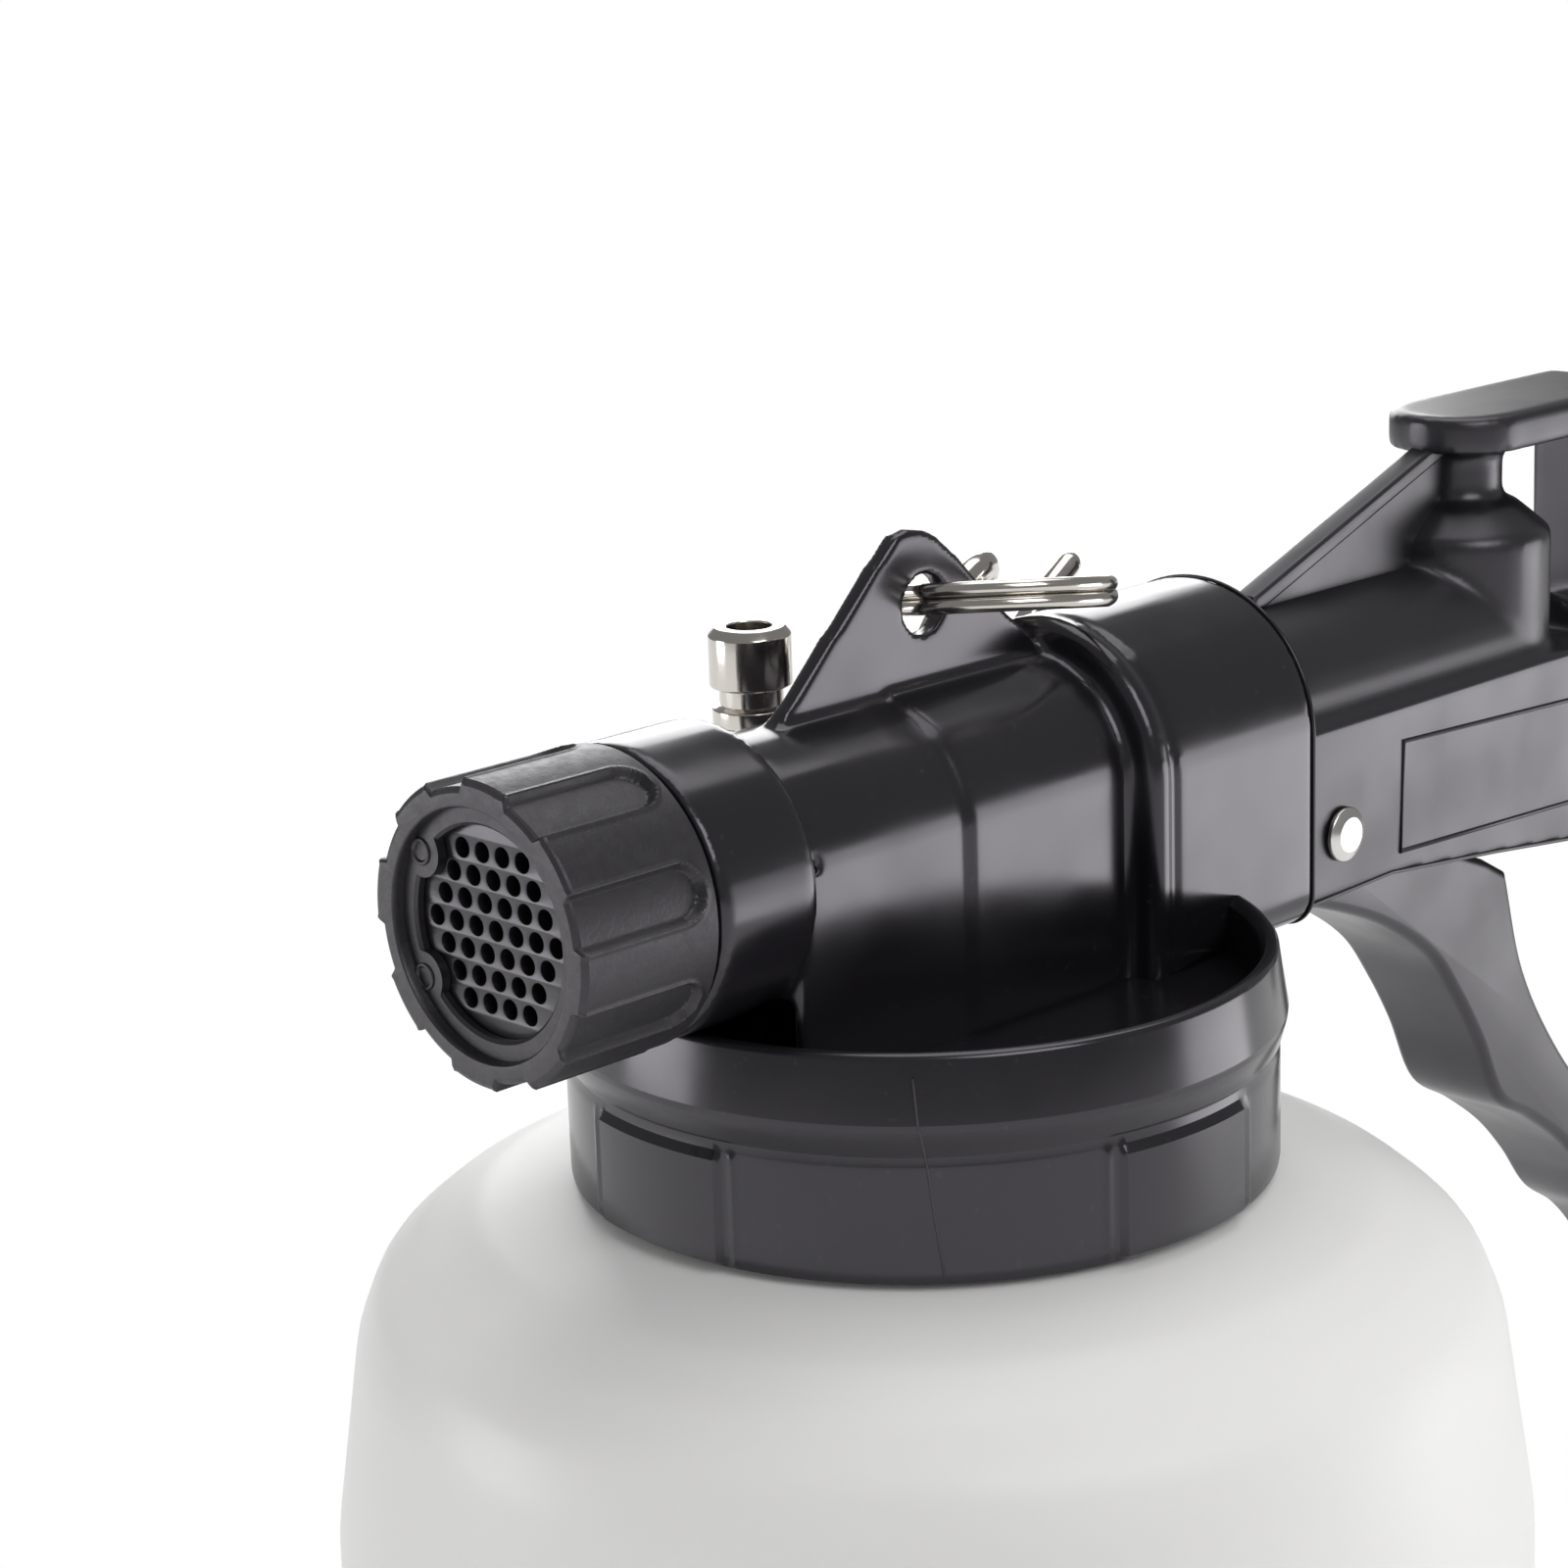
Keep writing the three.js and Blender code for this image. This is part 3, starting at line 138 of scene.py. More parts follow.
floor_mesh = bpy.data.meshes.new("floor")
floor_shape = bmesh.new()
bmesh.ops.create_circle(floor_shape, cap_ends=True, segments=96, radius=FLOOR_RADIUS)
floor_shape.to_mesh(floor_mesh)
floor = bpy.data.objects.new("floor", floor_mesh)
floor.location.z = -FLOOR_DROP
scene.collection.objects.link(floor)
floor_finish = bpy.data.materials.new("white_floor")
floor_finish.use_nodes = True
floor_tree = floor_finish.node_tree
floor_matt = floor_tree.nodes["Principled BSDF"]
floor_matt.inputs["Base Color"].default_value = (FLOOR_WHITE, FLOOR_WHITE, FLOOR_WHITE, 1)
floor_matt.inputs["Roughness"].default_value = 0.9
floor_white = floor_tree.nodes.new("ShaderNodeEmission")
floor_where = floor_tree.nodes.new("ShaderNodeTexCoord")
floor_distance = floor_tree.nodes.new("ShaderNodeVectorMath")
floor_distance.operation = "LENGTH"
floor_fade = floor_tree.nodes.new("ShaderNodeMapRange")
floor_fade.interpolation_type = "SMOOTHSTEP"
floor_fade.inputs["From Min"].default_value = FLOOR_SHADOW_ENDS[0]
floor_fade.inputs["From Max"].default_value = FLOOR_SHADOW_ENDS[1]
floor_link = floor_tree.links.new
floor_link(floor_where.outputs["Object"], floor_distance.inputs[0])
floor_link(floor_distance.outputs["Value"], floor_fade.inputs["Value"])
floor_seen = math_node(floor_tree, "MAXIMUM", *ray_kinds(floor_tree))
floor_mix = floor_tree.nodes.new("ShaderNodeMixShader")
floor_share = math_node(floor_tree, "MULTIPLY", floor_fade.outputs["Result"], floor_seen)
floor_link(floor_share, floor_mix.inputs["Fac"])
floor_link(floor_matt.outputs["BSDF"], floor_mix.inputs[1])
floor_link(floor_white.outputs["Emission"], floor_mix.inputs[2])
floor_link(floor_mix.outputs["Shader"], floor_tree.nodes["Material Output"].inputs["Surface"])
floor_mesh.materials.append(floor_finish)

# ---- clear dip tube ----------------------------------------------------------------------------
# A short length of soft clear tube pushed on the spigot under the cap; it hangs in the bottle with
# the gentle bend it was coiled in, and its lower end is cut square.
TUBE_ROUTE = [
    (1.5, -22, -12), (1.5, -22, -22), (0.6, -22, -34), (-1.6, -21.6, -52), (-5, -20.4, -74),
    (-9.6, -18.3, -97), (-15.6, -15.2, -121), (-23, -11.2, -145),
]
TUBE_OUTSIDE = 3.0
TUBE_INSIDE = 2.0
TUBE_SIDES = 40
CLEAR = (0.93, 0.95, 0.97)
SMOOTH_ANGLE = math.radians(32)
WELD = 1e-6  # metres within which points are one


def spline(points, steps):
    """Points spread along a centripetal curve through the given ones."""
    line = [Vector(p) for p in points]
    line = [2 * line[0] - line[1]] + line + [2 * line[-1] - line[-2]]
    run = []
    for k in range(1, len(line) - 2):
        p0, p1, p2, p3 = line[k - 1:k + 3]
        t1 = (p1 - p0).length ** 0.5
        t2 = t1 + (p2 - p1).length ** 0.5
        t3 = t2 + (p3 - p2).length ** 0.5
        for i in range(steps):
            t = t1 + (t2 - t1) * i / steps
            a1 = p0.lerp(p1, t / t1)
            a2 = p1.lerp(p2, (t - t1) / (t2 - t1))
            a3 = p2.lerp(p3, (t - t2) / (t3 - t2))
            b1 = a1.lerp(a2, t / t2)
            b2 = a2.lerp(a3, (t - t1) / (t3 - t1))
            run.append(b1.lerp(b2, (t - t1) / (t2 - t1)))
    return run + [line[-2]]


def sweep(line, rings, sides, closed_section=False):
    """A round bar along a line. rings gives [(radius, point index, push along the line)]."""
    normal = None
    frames = []
    for i, point in enumerate(line):
        before = line[max(i - 1, 0)]
        after = line[min(i + 1, len(line) - 1)]
        tangent = (after - before).normalized()
        if normal is None:
            normal = tangent.orthogonal().normalized()
        normal = (normal - tangent * normal.dot(tangent)).normalized()
        frames.append((point, tangent, normal, tangent.cross(normal)))
    verts = []
    for radius, index, push in rings:
        point, tangent, across, other = frames[index]
        for k in range(sides):
            angle = 2 * math.pi * k / sides
            spoke = math.cos(angle) * across + math.sin(angle) * other
            verts.append(point + tangent * push + radius * spoke)
    faces = []
    count = len(rings)
    for i in range(count if closed_section else count - 1):
        for k in range(sides):
            a, b = i * sides + k, i * sides + (k + 1) % sides
            c, d = (i + 1) % count * sides + (k + 1) % sides, (i + 1) % count * sides + k
            faces.append((a, b, c, d))
    if not closed_section:
        faces.append(tuple(reversed(range(sides))))
        faces.append(tuple(range((count - 1) * sides, count * sides)))
    return verts, faces


def mesh_object(name, shape):
    """An object at the origin from points in millimetres and faces, with its faces turned out."""
    verts, faces = shape
    mesh = bpy.data.meshes.new(name)
    mesh.from_pydata([place(v) for v in verts], [], faces)
    built = bmesh.new()
    built.from_mesh(mesh)
    bmesh.ops.remove_doubles(built, verts=built.verts, dist=WELD)
    bmesh.ops.recalc_face_normals(built, faces=built.faces)
    built.to_mesh(mesh)
    built.free()
    made = bpy.data.objects.new(name, mesh)
    scene.collection.objects.link(made)
    return made


def smoothed(piece, angle=SMOOTH_ANGLE):
    """The piece shaded smooth, with edges past the angle kept sharp."""
    piece.data.shade_smooth()
    piece.data.set_sharp_from_angle(angle=angle)
    return piece


def finish(name, colour, roughness, metallic=0.0):
    """A new material, its node tree and its Principled shader."""
    made = bpy.data.materials.new(name)
    made.use_nodes = True
    shader = made.node_tree.nodes["Principled BSDF"]
    shader.inputs["Base Color"].default_value = (*colour, 1)
    shader.inputs["Roughness"].default_value = roughness
    shader.inputs["Metallic"].default_value = metallic
    return made, made.node_tree, shader


SPECK_SHARE = 0.6  # the dust specks' scale, as a share of the grain's
SPECK_RANGE = (0.69, 0.78)
WAVE_RANGE = (0.3, 0.7)


def grain_group():
    """Shared surface wear: fine grain, slow waves and dust, as height, roughness and a dust mask."""
    group = bpy.data.node_groups.new("moulded_grain", "ShaderNodeTree")
    face = group.interface
    face.new_socket("Vector", in_out="INPUT", socket_type="NodeSocketVector")
    for name in ("Grain Scale", "Wave Scale", "Wave Share", "Dust"):
        face.new_socket(name, in_out="INPUT", socket_type="NodeSocketFloat")
    for name in ("Height", "Rough", "Dust Mask"):
        face.new_socket(name, in_out="OUTPUT", socket_type="NodeSocketFloat")
    source = group.nodes.new("NodeGroupInput")
    result = group.nodes.new("NodeGroupOutput")
    link = group.links.new
    grain_scale = source.outputs["Grain Scale"]
    speck_scale = math_node(group, "MULTIPLY", grain_scale, SPECK_SHARE)
    noises = []
    for scale, detail in ((grain_scale, 3), (source.outputs["Wave Scale"], 2), (speck_scale, 1)):
        noise = group.nodes.new("ShaderNodeTexNoise")
        noise.inputs["Detail"].default_value = detail
        link(source.outputs["Vector"], noise.inputs["Vector"])
        link(scale, noise.inputs["Scale"])
        noises.append(noise.outputs["Fac"])
    grain, wave, specks = noises
    height = group.nodes.new("ShaderNodeMix")
    height.data_type = "FLOAT"
    dust = group.nodes.new("ShaderNodeMapRange")
    dust.inputs["From Min"].default_value = SPECK_RANGE[0]
    dust.inputs["From Max"].default_value = SPECK_RANGE[1]
    link(source.outputs["Wave Share"], height.inputs["Factor"])
    link(grain, height.inputs["A"])
    link(wave, height.inputs["B"])
    link(specks, dust.inputs["Value"])
    link(height.outputs["Result"], result.inputs["Height"])
    link(wave, result.inputs["Rough"])
    dust_mask = math_node(group, "MULTIPLY", dust.outputs["Result"], source.outputs["Dust"])
    link(dust_mask, result.inputs["Dust Mask"])
    return group


GRAIN = grain_group()


def worn(made, tree, shader, colour, roughness, spread, grain, depth, wave=60, wave_share=0.3, dust=0.1,
         dust_colour=(0.3, 0.29, 0.28)):
    """Adds the shared grain to a material: spread is how far its roughness strays."""
    where = tree.nodes.new("ShaderNodeTexCoord")
    surface = tree.nodes.new("ShaderNodeGroup")
    surface.node_tree = GRAIN
    surface.inputs["Grain Scale"].default_value = grain
    surface.inputs["Wave Scale"].default_value = wave
    surface.inputs["Wave Share"].default_value = wave_share
    surface.inputs["Dust"].default_value = dust
    tint = tree.nodes.new("ShaderNodeMix")
    tint.data_type = "RGBA"
    tint.inputs["A"].default_value = (*colour, 1)
    tint.inputs["B"].default_value = (*dust_colour, 1)
    rough = tree.nodes.new("ShaderNodeMapRange")
    rough.inputs["From Min"].default_value = WAVE_RANGE[0]
    rough.inputs["From Max"].default_value = WAVE_RANGE[1]
    rough.inputs["To Min"].default_value = roughness - spread
    rough.inputs["To Max"].default_value = roughness + spread
    bump = tree.nodes.new("ShaderNodeBump")
    bump.inputs["Strength"].default_value = 1
    bump.inputs["Distance"].default_value = depth
    link = tree.links.new
    link(where.outputs["Object"], surface.inputs["Vector"])
    link(surface.outputs["Dust Mask"], tint.inputs["Factor"])
    link(tint.outputs["Result"], shader.inputs["Base Color"])
    link(surface.outputs["Rough"], rough.inputs["Value"])
    link(rough.outputs["Result"], shader.inputs["Roughness"])
    link(surface.outputs["Height"], bump.inputs["Height"])
    link(bump.outputs["Normal"], shader.inputs["Normal"])
    return made


tube_line = spline(TUBE_ROUTE, 10)
tube_last = len(tube_line) - 1
tube_rings = [(TUBE_OUTSIDE, i, 0) for i in range(tube_last + 1)]
tube_rings += [(TUBE_INSIDE, i, 0) for i in range(tube_last, -1, -1)]
dip_tube = smoothed(mesh_object("clear_tube", sweep(tube_line, tube_rings, TUBE_SIDES, closed_section=True)))
clear_plastic, clear_tree, clear_shader = finish("clear_vinyl", CLEAR, 0.08)
clear_shader.inputs["Transmission Weight"].default_value = 0.92
clear_shader.inputs["IOR"].default_value = 1.4
worn(clear_plastic, clear_tree, clear_shader, CLEAR, roughness=0.09, spread=0.04, grain=900, depth=0.00002,
     dust_colour=(0.8, 0.82, 0.85))
dip_tube.data.materials.append(clear_plastic)
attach(dip_tube, "head")
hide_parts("dip_tube")

# ---- bottle ------------------------------------------------------------------------------------
# A blow-moulded white bottle with a wide threaded neck and a soft round shoulder. Its wall is thin
# and slightly translucent, and a faint step runs round it under the shoulder.
BOTTLE_OUTSIDE = [
    (0, -205), (44, -205), (46, -203.8), (52, -203.8), (54, -205), (58.5, -205, 2), (64, -201, 6),
    (64, -72.6, 0.3), (63.6, -72, 0.3), (63.4, -61, 20), (61.4, -48, 20), (60.2, -40, 14), (57.8, -34, 8),
    (53, -30, 9), (47, -27, 12), (40, -25, 8), (34.6, -23.5, 1.2), (32.4, -22.5, 0.5), (32.4, -10.6, 0.6),
]
BOTTLE_INSIDE = [
    (29.6, -10.6, 0.5), (29.6, -24, 3), (40, -27.2, 8), (47, -29.4, 12), (51.8, -32.2, 8), (56, -36.2, 8),
    (58.2, -42, 14), (60.2, -54, 20), (61.8, -72), (61.8, -199, 6), (54, -202.6), (0, -202.6),
]
BOTTLE_SIDES = 160
MILKY = (0.93, 0.925, 0.915)
THREAD_STEPS = 96  # in a turn
THREAD_FADE = 14  # steps over which a thread grows at each end
CORNER_STEP = math.radians(9)
NECK_THREAD = dict(root=32, crest=33.3, pitch=4, turns=2.4, start=-21.9, foot=2.2, top=1)


def rounded(points):
    """An outline with an arc at each point that carries a radius as its third number."""
    out = []
    for i, point in enumerate(points):
        here = Vector(point[:2])
        radius = point[2] if len(point) > 2 else 0
        if not radius or not 0 < i < len(points) - 1:
            out.append(tuple(here))
            continue
        back = Vector(points[i - 1][:2]) - here
        ahead = Vector(points[i + 1][:2]) - here
        half = back.angle(ahead) / 2
        reach = min(radius / math.tan(half), back.length * 0.49, ahead.length * 0.49)
        centre = here + (back.normalized() + ahead.normalized()).normalized() * (reach / math.cos(half))
        first = here + back.normalized() * reach - centre
        last = here + ahead.normalized() * reach - centre
        turn = math.atan2(first.x * last.y - first.y * last.x, first.dot(last))
        count = max(2, round(abs(turn) / CORNER_STEP))
        for k in range(count + 1):
            angle = turn * k / count
            arm = (first.x * math.cos(angle) - first.y * math.sin(angle),
                   first.x * math.sin(angle) + first.y * math.cos(angle))
            out.append((centre.x + arm[0], centre.y + arm[1]))
    return out


def spun(profile, sides, swell=None, closed=False):
    """A turned shape about Z. swell(angle, radius, height) may move a point in or out."""
    verts, faces, rows = [], [], []
    for radius, height in profile:
        if radius < 1e-6:
            rows.append([len(verts)] * sides)
            verts.append(Vector((0, 0, height)))
            continue
        rows.append(range(len(verts), len(verts) + sides))
        for k in range(sides):
            angle = 2 * math.pi * k / sides
            wide = radius + (swell(angle, radius, height) if swell else 0)
            verts.append(Vector((wide * math.cos(angle), wide * math.sin(angle), height)))
    pairs = list(zip(rows, rows[1:])) + ([(rows[-1], rows[0])] if closed else [])
    for low, high in pairs:
        for k in range(sides):
            corners = [low[k], low[(k + 1) % sides], high[(k + 1) % sides], high[k]]
            kept = [c for i, c in enumerate(corners) if c != corners[i - 1]]
            if len(kept) > 2:
                faces.append(tuple(kept))
    return verts, faces


def thread(root, crest, pitch, turns, start, foot, top):
    """A screw ridge whose crest sinks into the wall at both ends."""
    verts, faces = [], []
    steps = round(turns * THREAD_STEPS)
    for i in range(steps + 1):
        angle = 2 * math.pi * i / THREAD_STEPS
        lift = start + pitch * i / THREAD_STEPS
        share = min(1, i / THREAD_FADE, (steps - i) / THREAD_FADE)
        peak = root + (crest - root) * max(share, 0.05)
        for wide, high in ((root, -foot / 2), (peak, -top / 2), (peak, top / 2), (root, foot / 2)):
            verts.append(Vector((wide * math.cos(angle), wide * math.sin(angle), lift + high)))
    for i in range(steps):
        for k in range(4):
            a, b = 4 * i + k, 4 * i + (k + 1) % 4
            faces.append((a, b, b + 4, a + 4))
    faces += [(3, 2, 1, 0), tuple(4 * steps + k for k in range(4))]
    return verts, faces


def together(*shapes):
    """Several shapes' points and faces as one."""
    verts, faces = [], []
    for points, sides in shapes:
        faces += [tuple(k + len(verts) for k in face) for face in sides]
        verts += points
    return verts, faces


bottle = smoothed(mesh_object("white_bottle", together(
    spun(rounded(BOTTLE_OUTSIDE + BOTTLE_INSIDE), BOTTLE_SIDES), thread(**NECK_THREAD))))
milky, milky_tree, milky_shader = finish("milky_polythene", MILKY, 0.42)
milky_shader.inputs["Subsurface Weight"].default_value = 0.12
milky_shader.inputs["Subsurface Radius"].default_value = (0.006, 0.005, 0.004)
worn(milky, milky_tree, milky_shader, MILKY, roughness=0.42, spread=0.08, grain=1400, depth=0.000012,
     wave=28, wave_share=0.5, dust=0.05, dust_colour=(0.82, 0.8, 0.77))
bottle.data.materials.append(milky)
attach(bottle, "bottle")
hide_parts("bottle")

# ---- screw cap ---------------------------------------------------------------------------------
# The head's foot is a moulded glossy cap: a shallow dish inside a thin rounded rim, a stepped band,
# and a skirt with four low grip pads whose edges are thin double lines. It screws on the neck.
CAP_PROFILE = [
    (0, -6.5), (34.2, -6.5, 1.1), (34.9, -1, 0.7), (35.7, 0, 0.7), (36.8, -0.3, 0.7), (37.25, -3.4),
    (37.8, -6.84, 0.5), (37.75, -7.5, 0.3), (37.1, -9.9), (36.85, -10.3, 0.2), (36.95, -11.2, 0.3),
]
SKIRT_TOP = -11.4
SKIRT_BOTTOM = -23.1
SKIRT_RADIUS = 37
SKIRT_ROWS = 16
CAP_UNDERSIDE = [
    (36.9, SKIRT_BOTTOM, 0.2), (35.6, SKIRT_BOTTOM, 0.3), (35.2, -22.4), (35.2, -9.3), (34.4, -8.3),
    (0, -8.3),
]
CAP_SIDES = 720
PAD_COUNT = 4
PAD_START = math.radians(-16)
PAD_WIDTH = math.radians(27)
PAD_STEP = 0.6
PAD_REACH = 2.6
PAD_EDGE_WIDTH = 0.5  # over which a pad's edge rises
PAD_LIP = 0.35  # the lip's height, as a share of the pad's
PAD_LIP_AT = 1.5
PAD_LIP_WIDTH = 0.35
PAD_TOP = SKIRT_TOP + 0.05
PAD_TOP_FADE = 0.3
SKIRT_MARGIN = 0.4
CAP_THREAD = dict(root=35.5, crest=33.9, pitch=4, turns=2.4, start=-21.6, foot=2.2, top=1)
STANDPIPE_X = 2
STANDPIPE_RADIUS = 6.5
STANDPIPE_BORE = 4.3
HOSE_PIPE_RADIUS = 5.3
HOSE_BORE = 3.6
HOSE_BOSS = (6.4, -7, 4.4)  # radius, foot and top
HOSE_X = 1.5
HOSE_Y = -22
UNDER_CAP = (-18, -7.5)  # lowest and highest point of the two pipes under the cap
SEAL_BEADS = (23.6, 26.6)  # inner radii of the two ridges that press on the seal
SEAL_BEAD_FOOT = -9.2
SEAL_BEAD_TOP = -7.9
CAP_EDGE_ANGLE = math.radians(26)
BLACK = (0.0092, 0.0084, 0.0106)
SHEEN_TINT = (0.96, 0.92, 1, 1)


def pad_swell(angle, radius, height):
    """How far the skirt stands out here: pads with a thin groove and lip down each edge."""
    if radius < SKIRT_RADIUS - SKIRT_MARGIN or not SKIRT_BOTTOM + SKIRT_MARGIN < height < PAD_TOP:
        return 0
    best = 0
    for i in range(PAD_COUNT):
        middle = PAD_START + PAD_WIDTH / 2 + 2 * math.pi * i / PAD_COUNT
        away = abs((angle - middle + math.pi) % (2 * math.pi) - math.pi) - PAD_WIDTH / 2
        edge = away * SKIRT_RADIUS
        if edge < PAD_REACH:
            rise = 1 - min(max((edge + PAD_EDGE_WIDTH / 2) / PAD_EDGE_WIDTH, 0), 1)
            lip = PAD_LIP * math.exp(-((edge - PAD_LIP_AT) / PAD_LIP_WIDTH) ** 2)
            best = max(best, PAD_STEP * (rise + lip))
    return best * min(1, (PAD_TOP - height) / PAD_TOP_FADE)


def moved(shape, x, y):
    """A shape set beside the Z axis."""
    return [v + Vector((x, y, 0)) for v in shape[0]], shape[1]


def rod_z(radius, low, high, x, y, bore=0, sides=64):
    """An upright round bar or pipe with eased edges."""
    outside = [(radius, low, 0.3), (radius, high, 0.3)]
    if bore:
        ring = [(bore, low)] + outside + [(bore, high)]
        shape = spun(rounded(ring), sides, closed=True)
    else:
        shape = spun(rounded([(0, low)] + outside + [(0, high)]), sides)
    return moved(shape, x, y)


def seal_bead(radius):
    """A ridge round the underside of the cap, one millimetre wide."""
    return spun([(radius, SEAL_BEAD_FOOT), (radius + 1, SEAL_BEAD_FOOT),
                 (radius + 1, SEAL_BEAD_TOP), (radius, SEAL_BEAD_TOP)], 96, closed=True)


def plastic(name, colour, roughness, spread, gloss=0.5, **grain):
    """A moulded plastic or rubber; gloss is how strongly it mirrors."""
    made, tree, shader = finish(name, colour, roughness)
    shader.inputs["Specular IOR Level"].default_value = gloss
    shader.inputs["Specular Tint"].default_value = SHEEN_TINT
    return worn(made, tree, shader, colour, roughness, spread, **grain)


skirt = [(SKIRT_RADIUS - 0.02, SKIRT_TOP + (SKIRT_BOTTOM - SKIRT_TOP + 0.5) * i / SKIRT_ROWS)
         for i in range(SKIRT_ROWS + 1)]
cap_line = rounded(CAP_PROFILE) + skirt + rounded(CAP_UNDERSIDE)
cap = smoothed(mesh_object("screw_cap", together(
    spun(cap_line, CAP_SIDES, swell=pad_swell),
    thread(**CAP_THREAD),
    rod_z(STANDPIPE_RADIUS, *UNDER_CAP, STANDPIPE_X, 0, bore=STANDPIPE_BORE),
    rod_z(HOSE_PIPE_RADIUS, *UNDER_CAP, HOSE_X, HOSE_Y, bore=HOSE_BORE),
    rod_z(*HOSE_BOSS, HOSE_X, HOSE_Y, bore=HOSE_BORE),
    *[seal_bead(radius) for radius in SEAL_BEADS],
)), CAP_EDGE_ANGLE)
gloss_black = plastic("gloss_black_moulding", BLACK, roughness=0.2, spread=0.05, gloss=0.7, grain=1800,
                      depth=0.000006, wave=75, wave_share=0.75, dust=0.04)
cap.data.materials.append(gloss_black)
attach(cap, "head")
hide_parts("venturi_head")

# ---- barrel, sleeve and hanging fin ------------------------------------------------------------
# One moulding with the cap: a barrel on a solid web, a collar that takes the silencer, a square
# sleeve that takes the gun, and a thin fin with a hole for the ring. Its corners are softly filled.
BARREL_Z = 14.27
BARREL_RADIUS = 12.4
BARREL_BACK = -22
BARREL_STEP_X = 5
BARREL_FRONT_RADIUS = BARREL_RADIUS - 0.4
WEB_FOOT = -7.2
COLLAR_X = 28.8
COLLAR_END = 41.5
COLLAR_RADIUS = 14.65
COLLAR_BORE = 11.6
COLLAR_FLOOR = 26
WEB_POCKET = (13, COLLAR_X + 3, -10.8, 10.8, -6.4, 2.6)  # the moulding's hollow under the collar
SLEEVE_RADIUS = 15.9
SLEEVE_FRONT = -19.3
SLEEVE_BACK = -46
FIN_HOLE = (-1, 35)
HEAD_VOXEL = 0.46
FIN_OUTLINE = [
    (22.5, 24.4), (4.2, 41.4, 2), (2.9, 42.5, 2), (1.2, 43, 2), (-0.6, 42.8, 2), (-2.4, 42.2, 2),
    (-4.7, 40.5, 3), (-10.4, 35, 3), (-19, 27), (-19, 16), (22.5, 16),
]
FIN_HALF = 1
FIN_HOLE_RADIUS = 3.1
ARCH_STEPS = 48
ROD_SIDES = 128
SLEEVE_BORE = 12.7
SLEEVE_BORE_FOOT = -3.8
SLEEVE_FLOOR = -21.7
BEAD_FOOT = -8
SLEEVE_FOOT = -7
CAP_FLASH = [  # degrees round the cap, radius, height
    (42, 37.3, -2.2), (42.6, 37.9, -6.9), (43.6, 37.0, -10.4), (44.6, 37.02, -16), (46, 37.02, -22.6),
]


def along_x(shape, y=0, z=BARREL_Z):
    """A shape turned about Z, laid along the barrel's axis or a line beside it."""
    return [Vector((v.z, v.x + y, v.y + z)) for v in shape[0]], shape[1]


def along_y(shape, x, z):
    """A shape turned about Z, laid across the object."""
    return [Vector((v.x + x, v.z, v.y + z)) for v in shape[0]], shape[1]


def rod_x(profile):
    """Turned about the barrel's axis from [radius, x] pairs."""
    return along_x(spun(rounded(profile), ROD_SIDES))


def loft(sections):
    """Sections of equal length, joined in order and closed at both ends."""
    count = len(sections[0])
    verts = [Vector(p) for section in sections for p in section]
    faces = []
    for i in range(len(sections) - 1):
        for k in range(count):
            a, b = i * count + k, i * count + (k + 1) % count
            faces.append((a, b, b + count, a + count))
    faces += [tuple(reversed(range(count))), tuple(range(len(verts) - count, len(verts)))]
    return verts, faces


def arch(radius, bottom, corner=0.0):
    """A section in (y, z), round over the barrel's axis with flat sides down to bottom."""
    turns = [math.pi * i / ARCH_STEPS for i in range(ARCH_STEPS + 1)]
    points = [(radius * math.cos(turn), BARREL_Z + radius * math.sin(turn)) for turn in turns]
    low = rounded([
        (-radius, BARREL_Z), (-radius, bottom, corner), (radius, bottom, corner), (radius, BARREL_Z)])
    return points + low[1:-1]


def bar_x(stations):
    """[(x, section in (y, z))] as a solid."""
    return loft([[(x, y, z) for y, z in section] for x, section in stations])


def slab(outline, low, high):
    """A side outline in (x, z) given its width along Y."""
    points = rounded(list(outline))
    return loft([[(x, low, z) for x, z in points], [(x, high, z) for x, z in points]])


def box(x0, x1, y0, y1, z0, z1):
    """A block between two corners."""
    return slab([(x0, z0), (x1, z0), (x1, z1), (x0, z1)], y0, y1)


def joined(piece, other):
    """The other object's faces become part of this one."""
    built = bmesh.new()
    built.from_mesh(piece.data)
    built.from_mesh(other.data)
    built.to_mesh(piece.data)
    built.free()
    bpy.data.objects.remove(other)


def thin_line(name, points, radius):
    """A fine raised line of moulding flash or a printed edge, along points on a surface."""
    line = [Vector(p) for p in points]
    rings = [(radius, i, 0) for i in range(len(line))]
    return smoothed(mesh_object(name, sweep(line, rings, 8)), math.radians(60))


def fused(name, solids, cuts, voxel, soften, grown=()):
    """Solids grown together and cut, on an even fine mesh whose corners are then eased."""
    made = mesh_object(name, together(*solids))
    for extra in grown:
        joined(made, extra)

    def settle(kind, **values):
        modifier = made.modifiers.new(kind.lower(), kind)
        for key, value in values.items():
            setattr(modifier, key, value)
        view = made.evaluated_get(bpy.context.evaluated_depsgraph_get())
        fresh = bpy.data.meshes.new_from_object(view)
        made.modifiers.remove(modifier)
        made.data = fresh

    settle("REMESH", mode="VOXEL", voxel_size=voxel * MM)
    if cuts:
        cutter = mesh_object(name + "_cutter", together(*cuts))
        cutter_remesh = cutter.modifiers.new("grow", "REMESH")
        cutter_remesh.mode = "VOXEL"
        cutter_remesh.voxel_size = voxel * MM
        settle("BOOLEAN", operation="DIFFERENCE", object=cutter, solver="EXACT")
        bpy.data.objects.remove(cutter)
        settle("REMESH", mode="VOXEL", voxel_size=voxel * MM)
    settle("SMOOTH", factor=0.5, iterations=soften)
    made.data.shade_smooth()
    return made


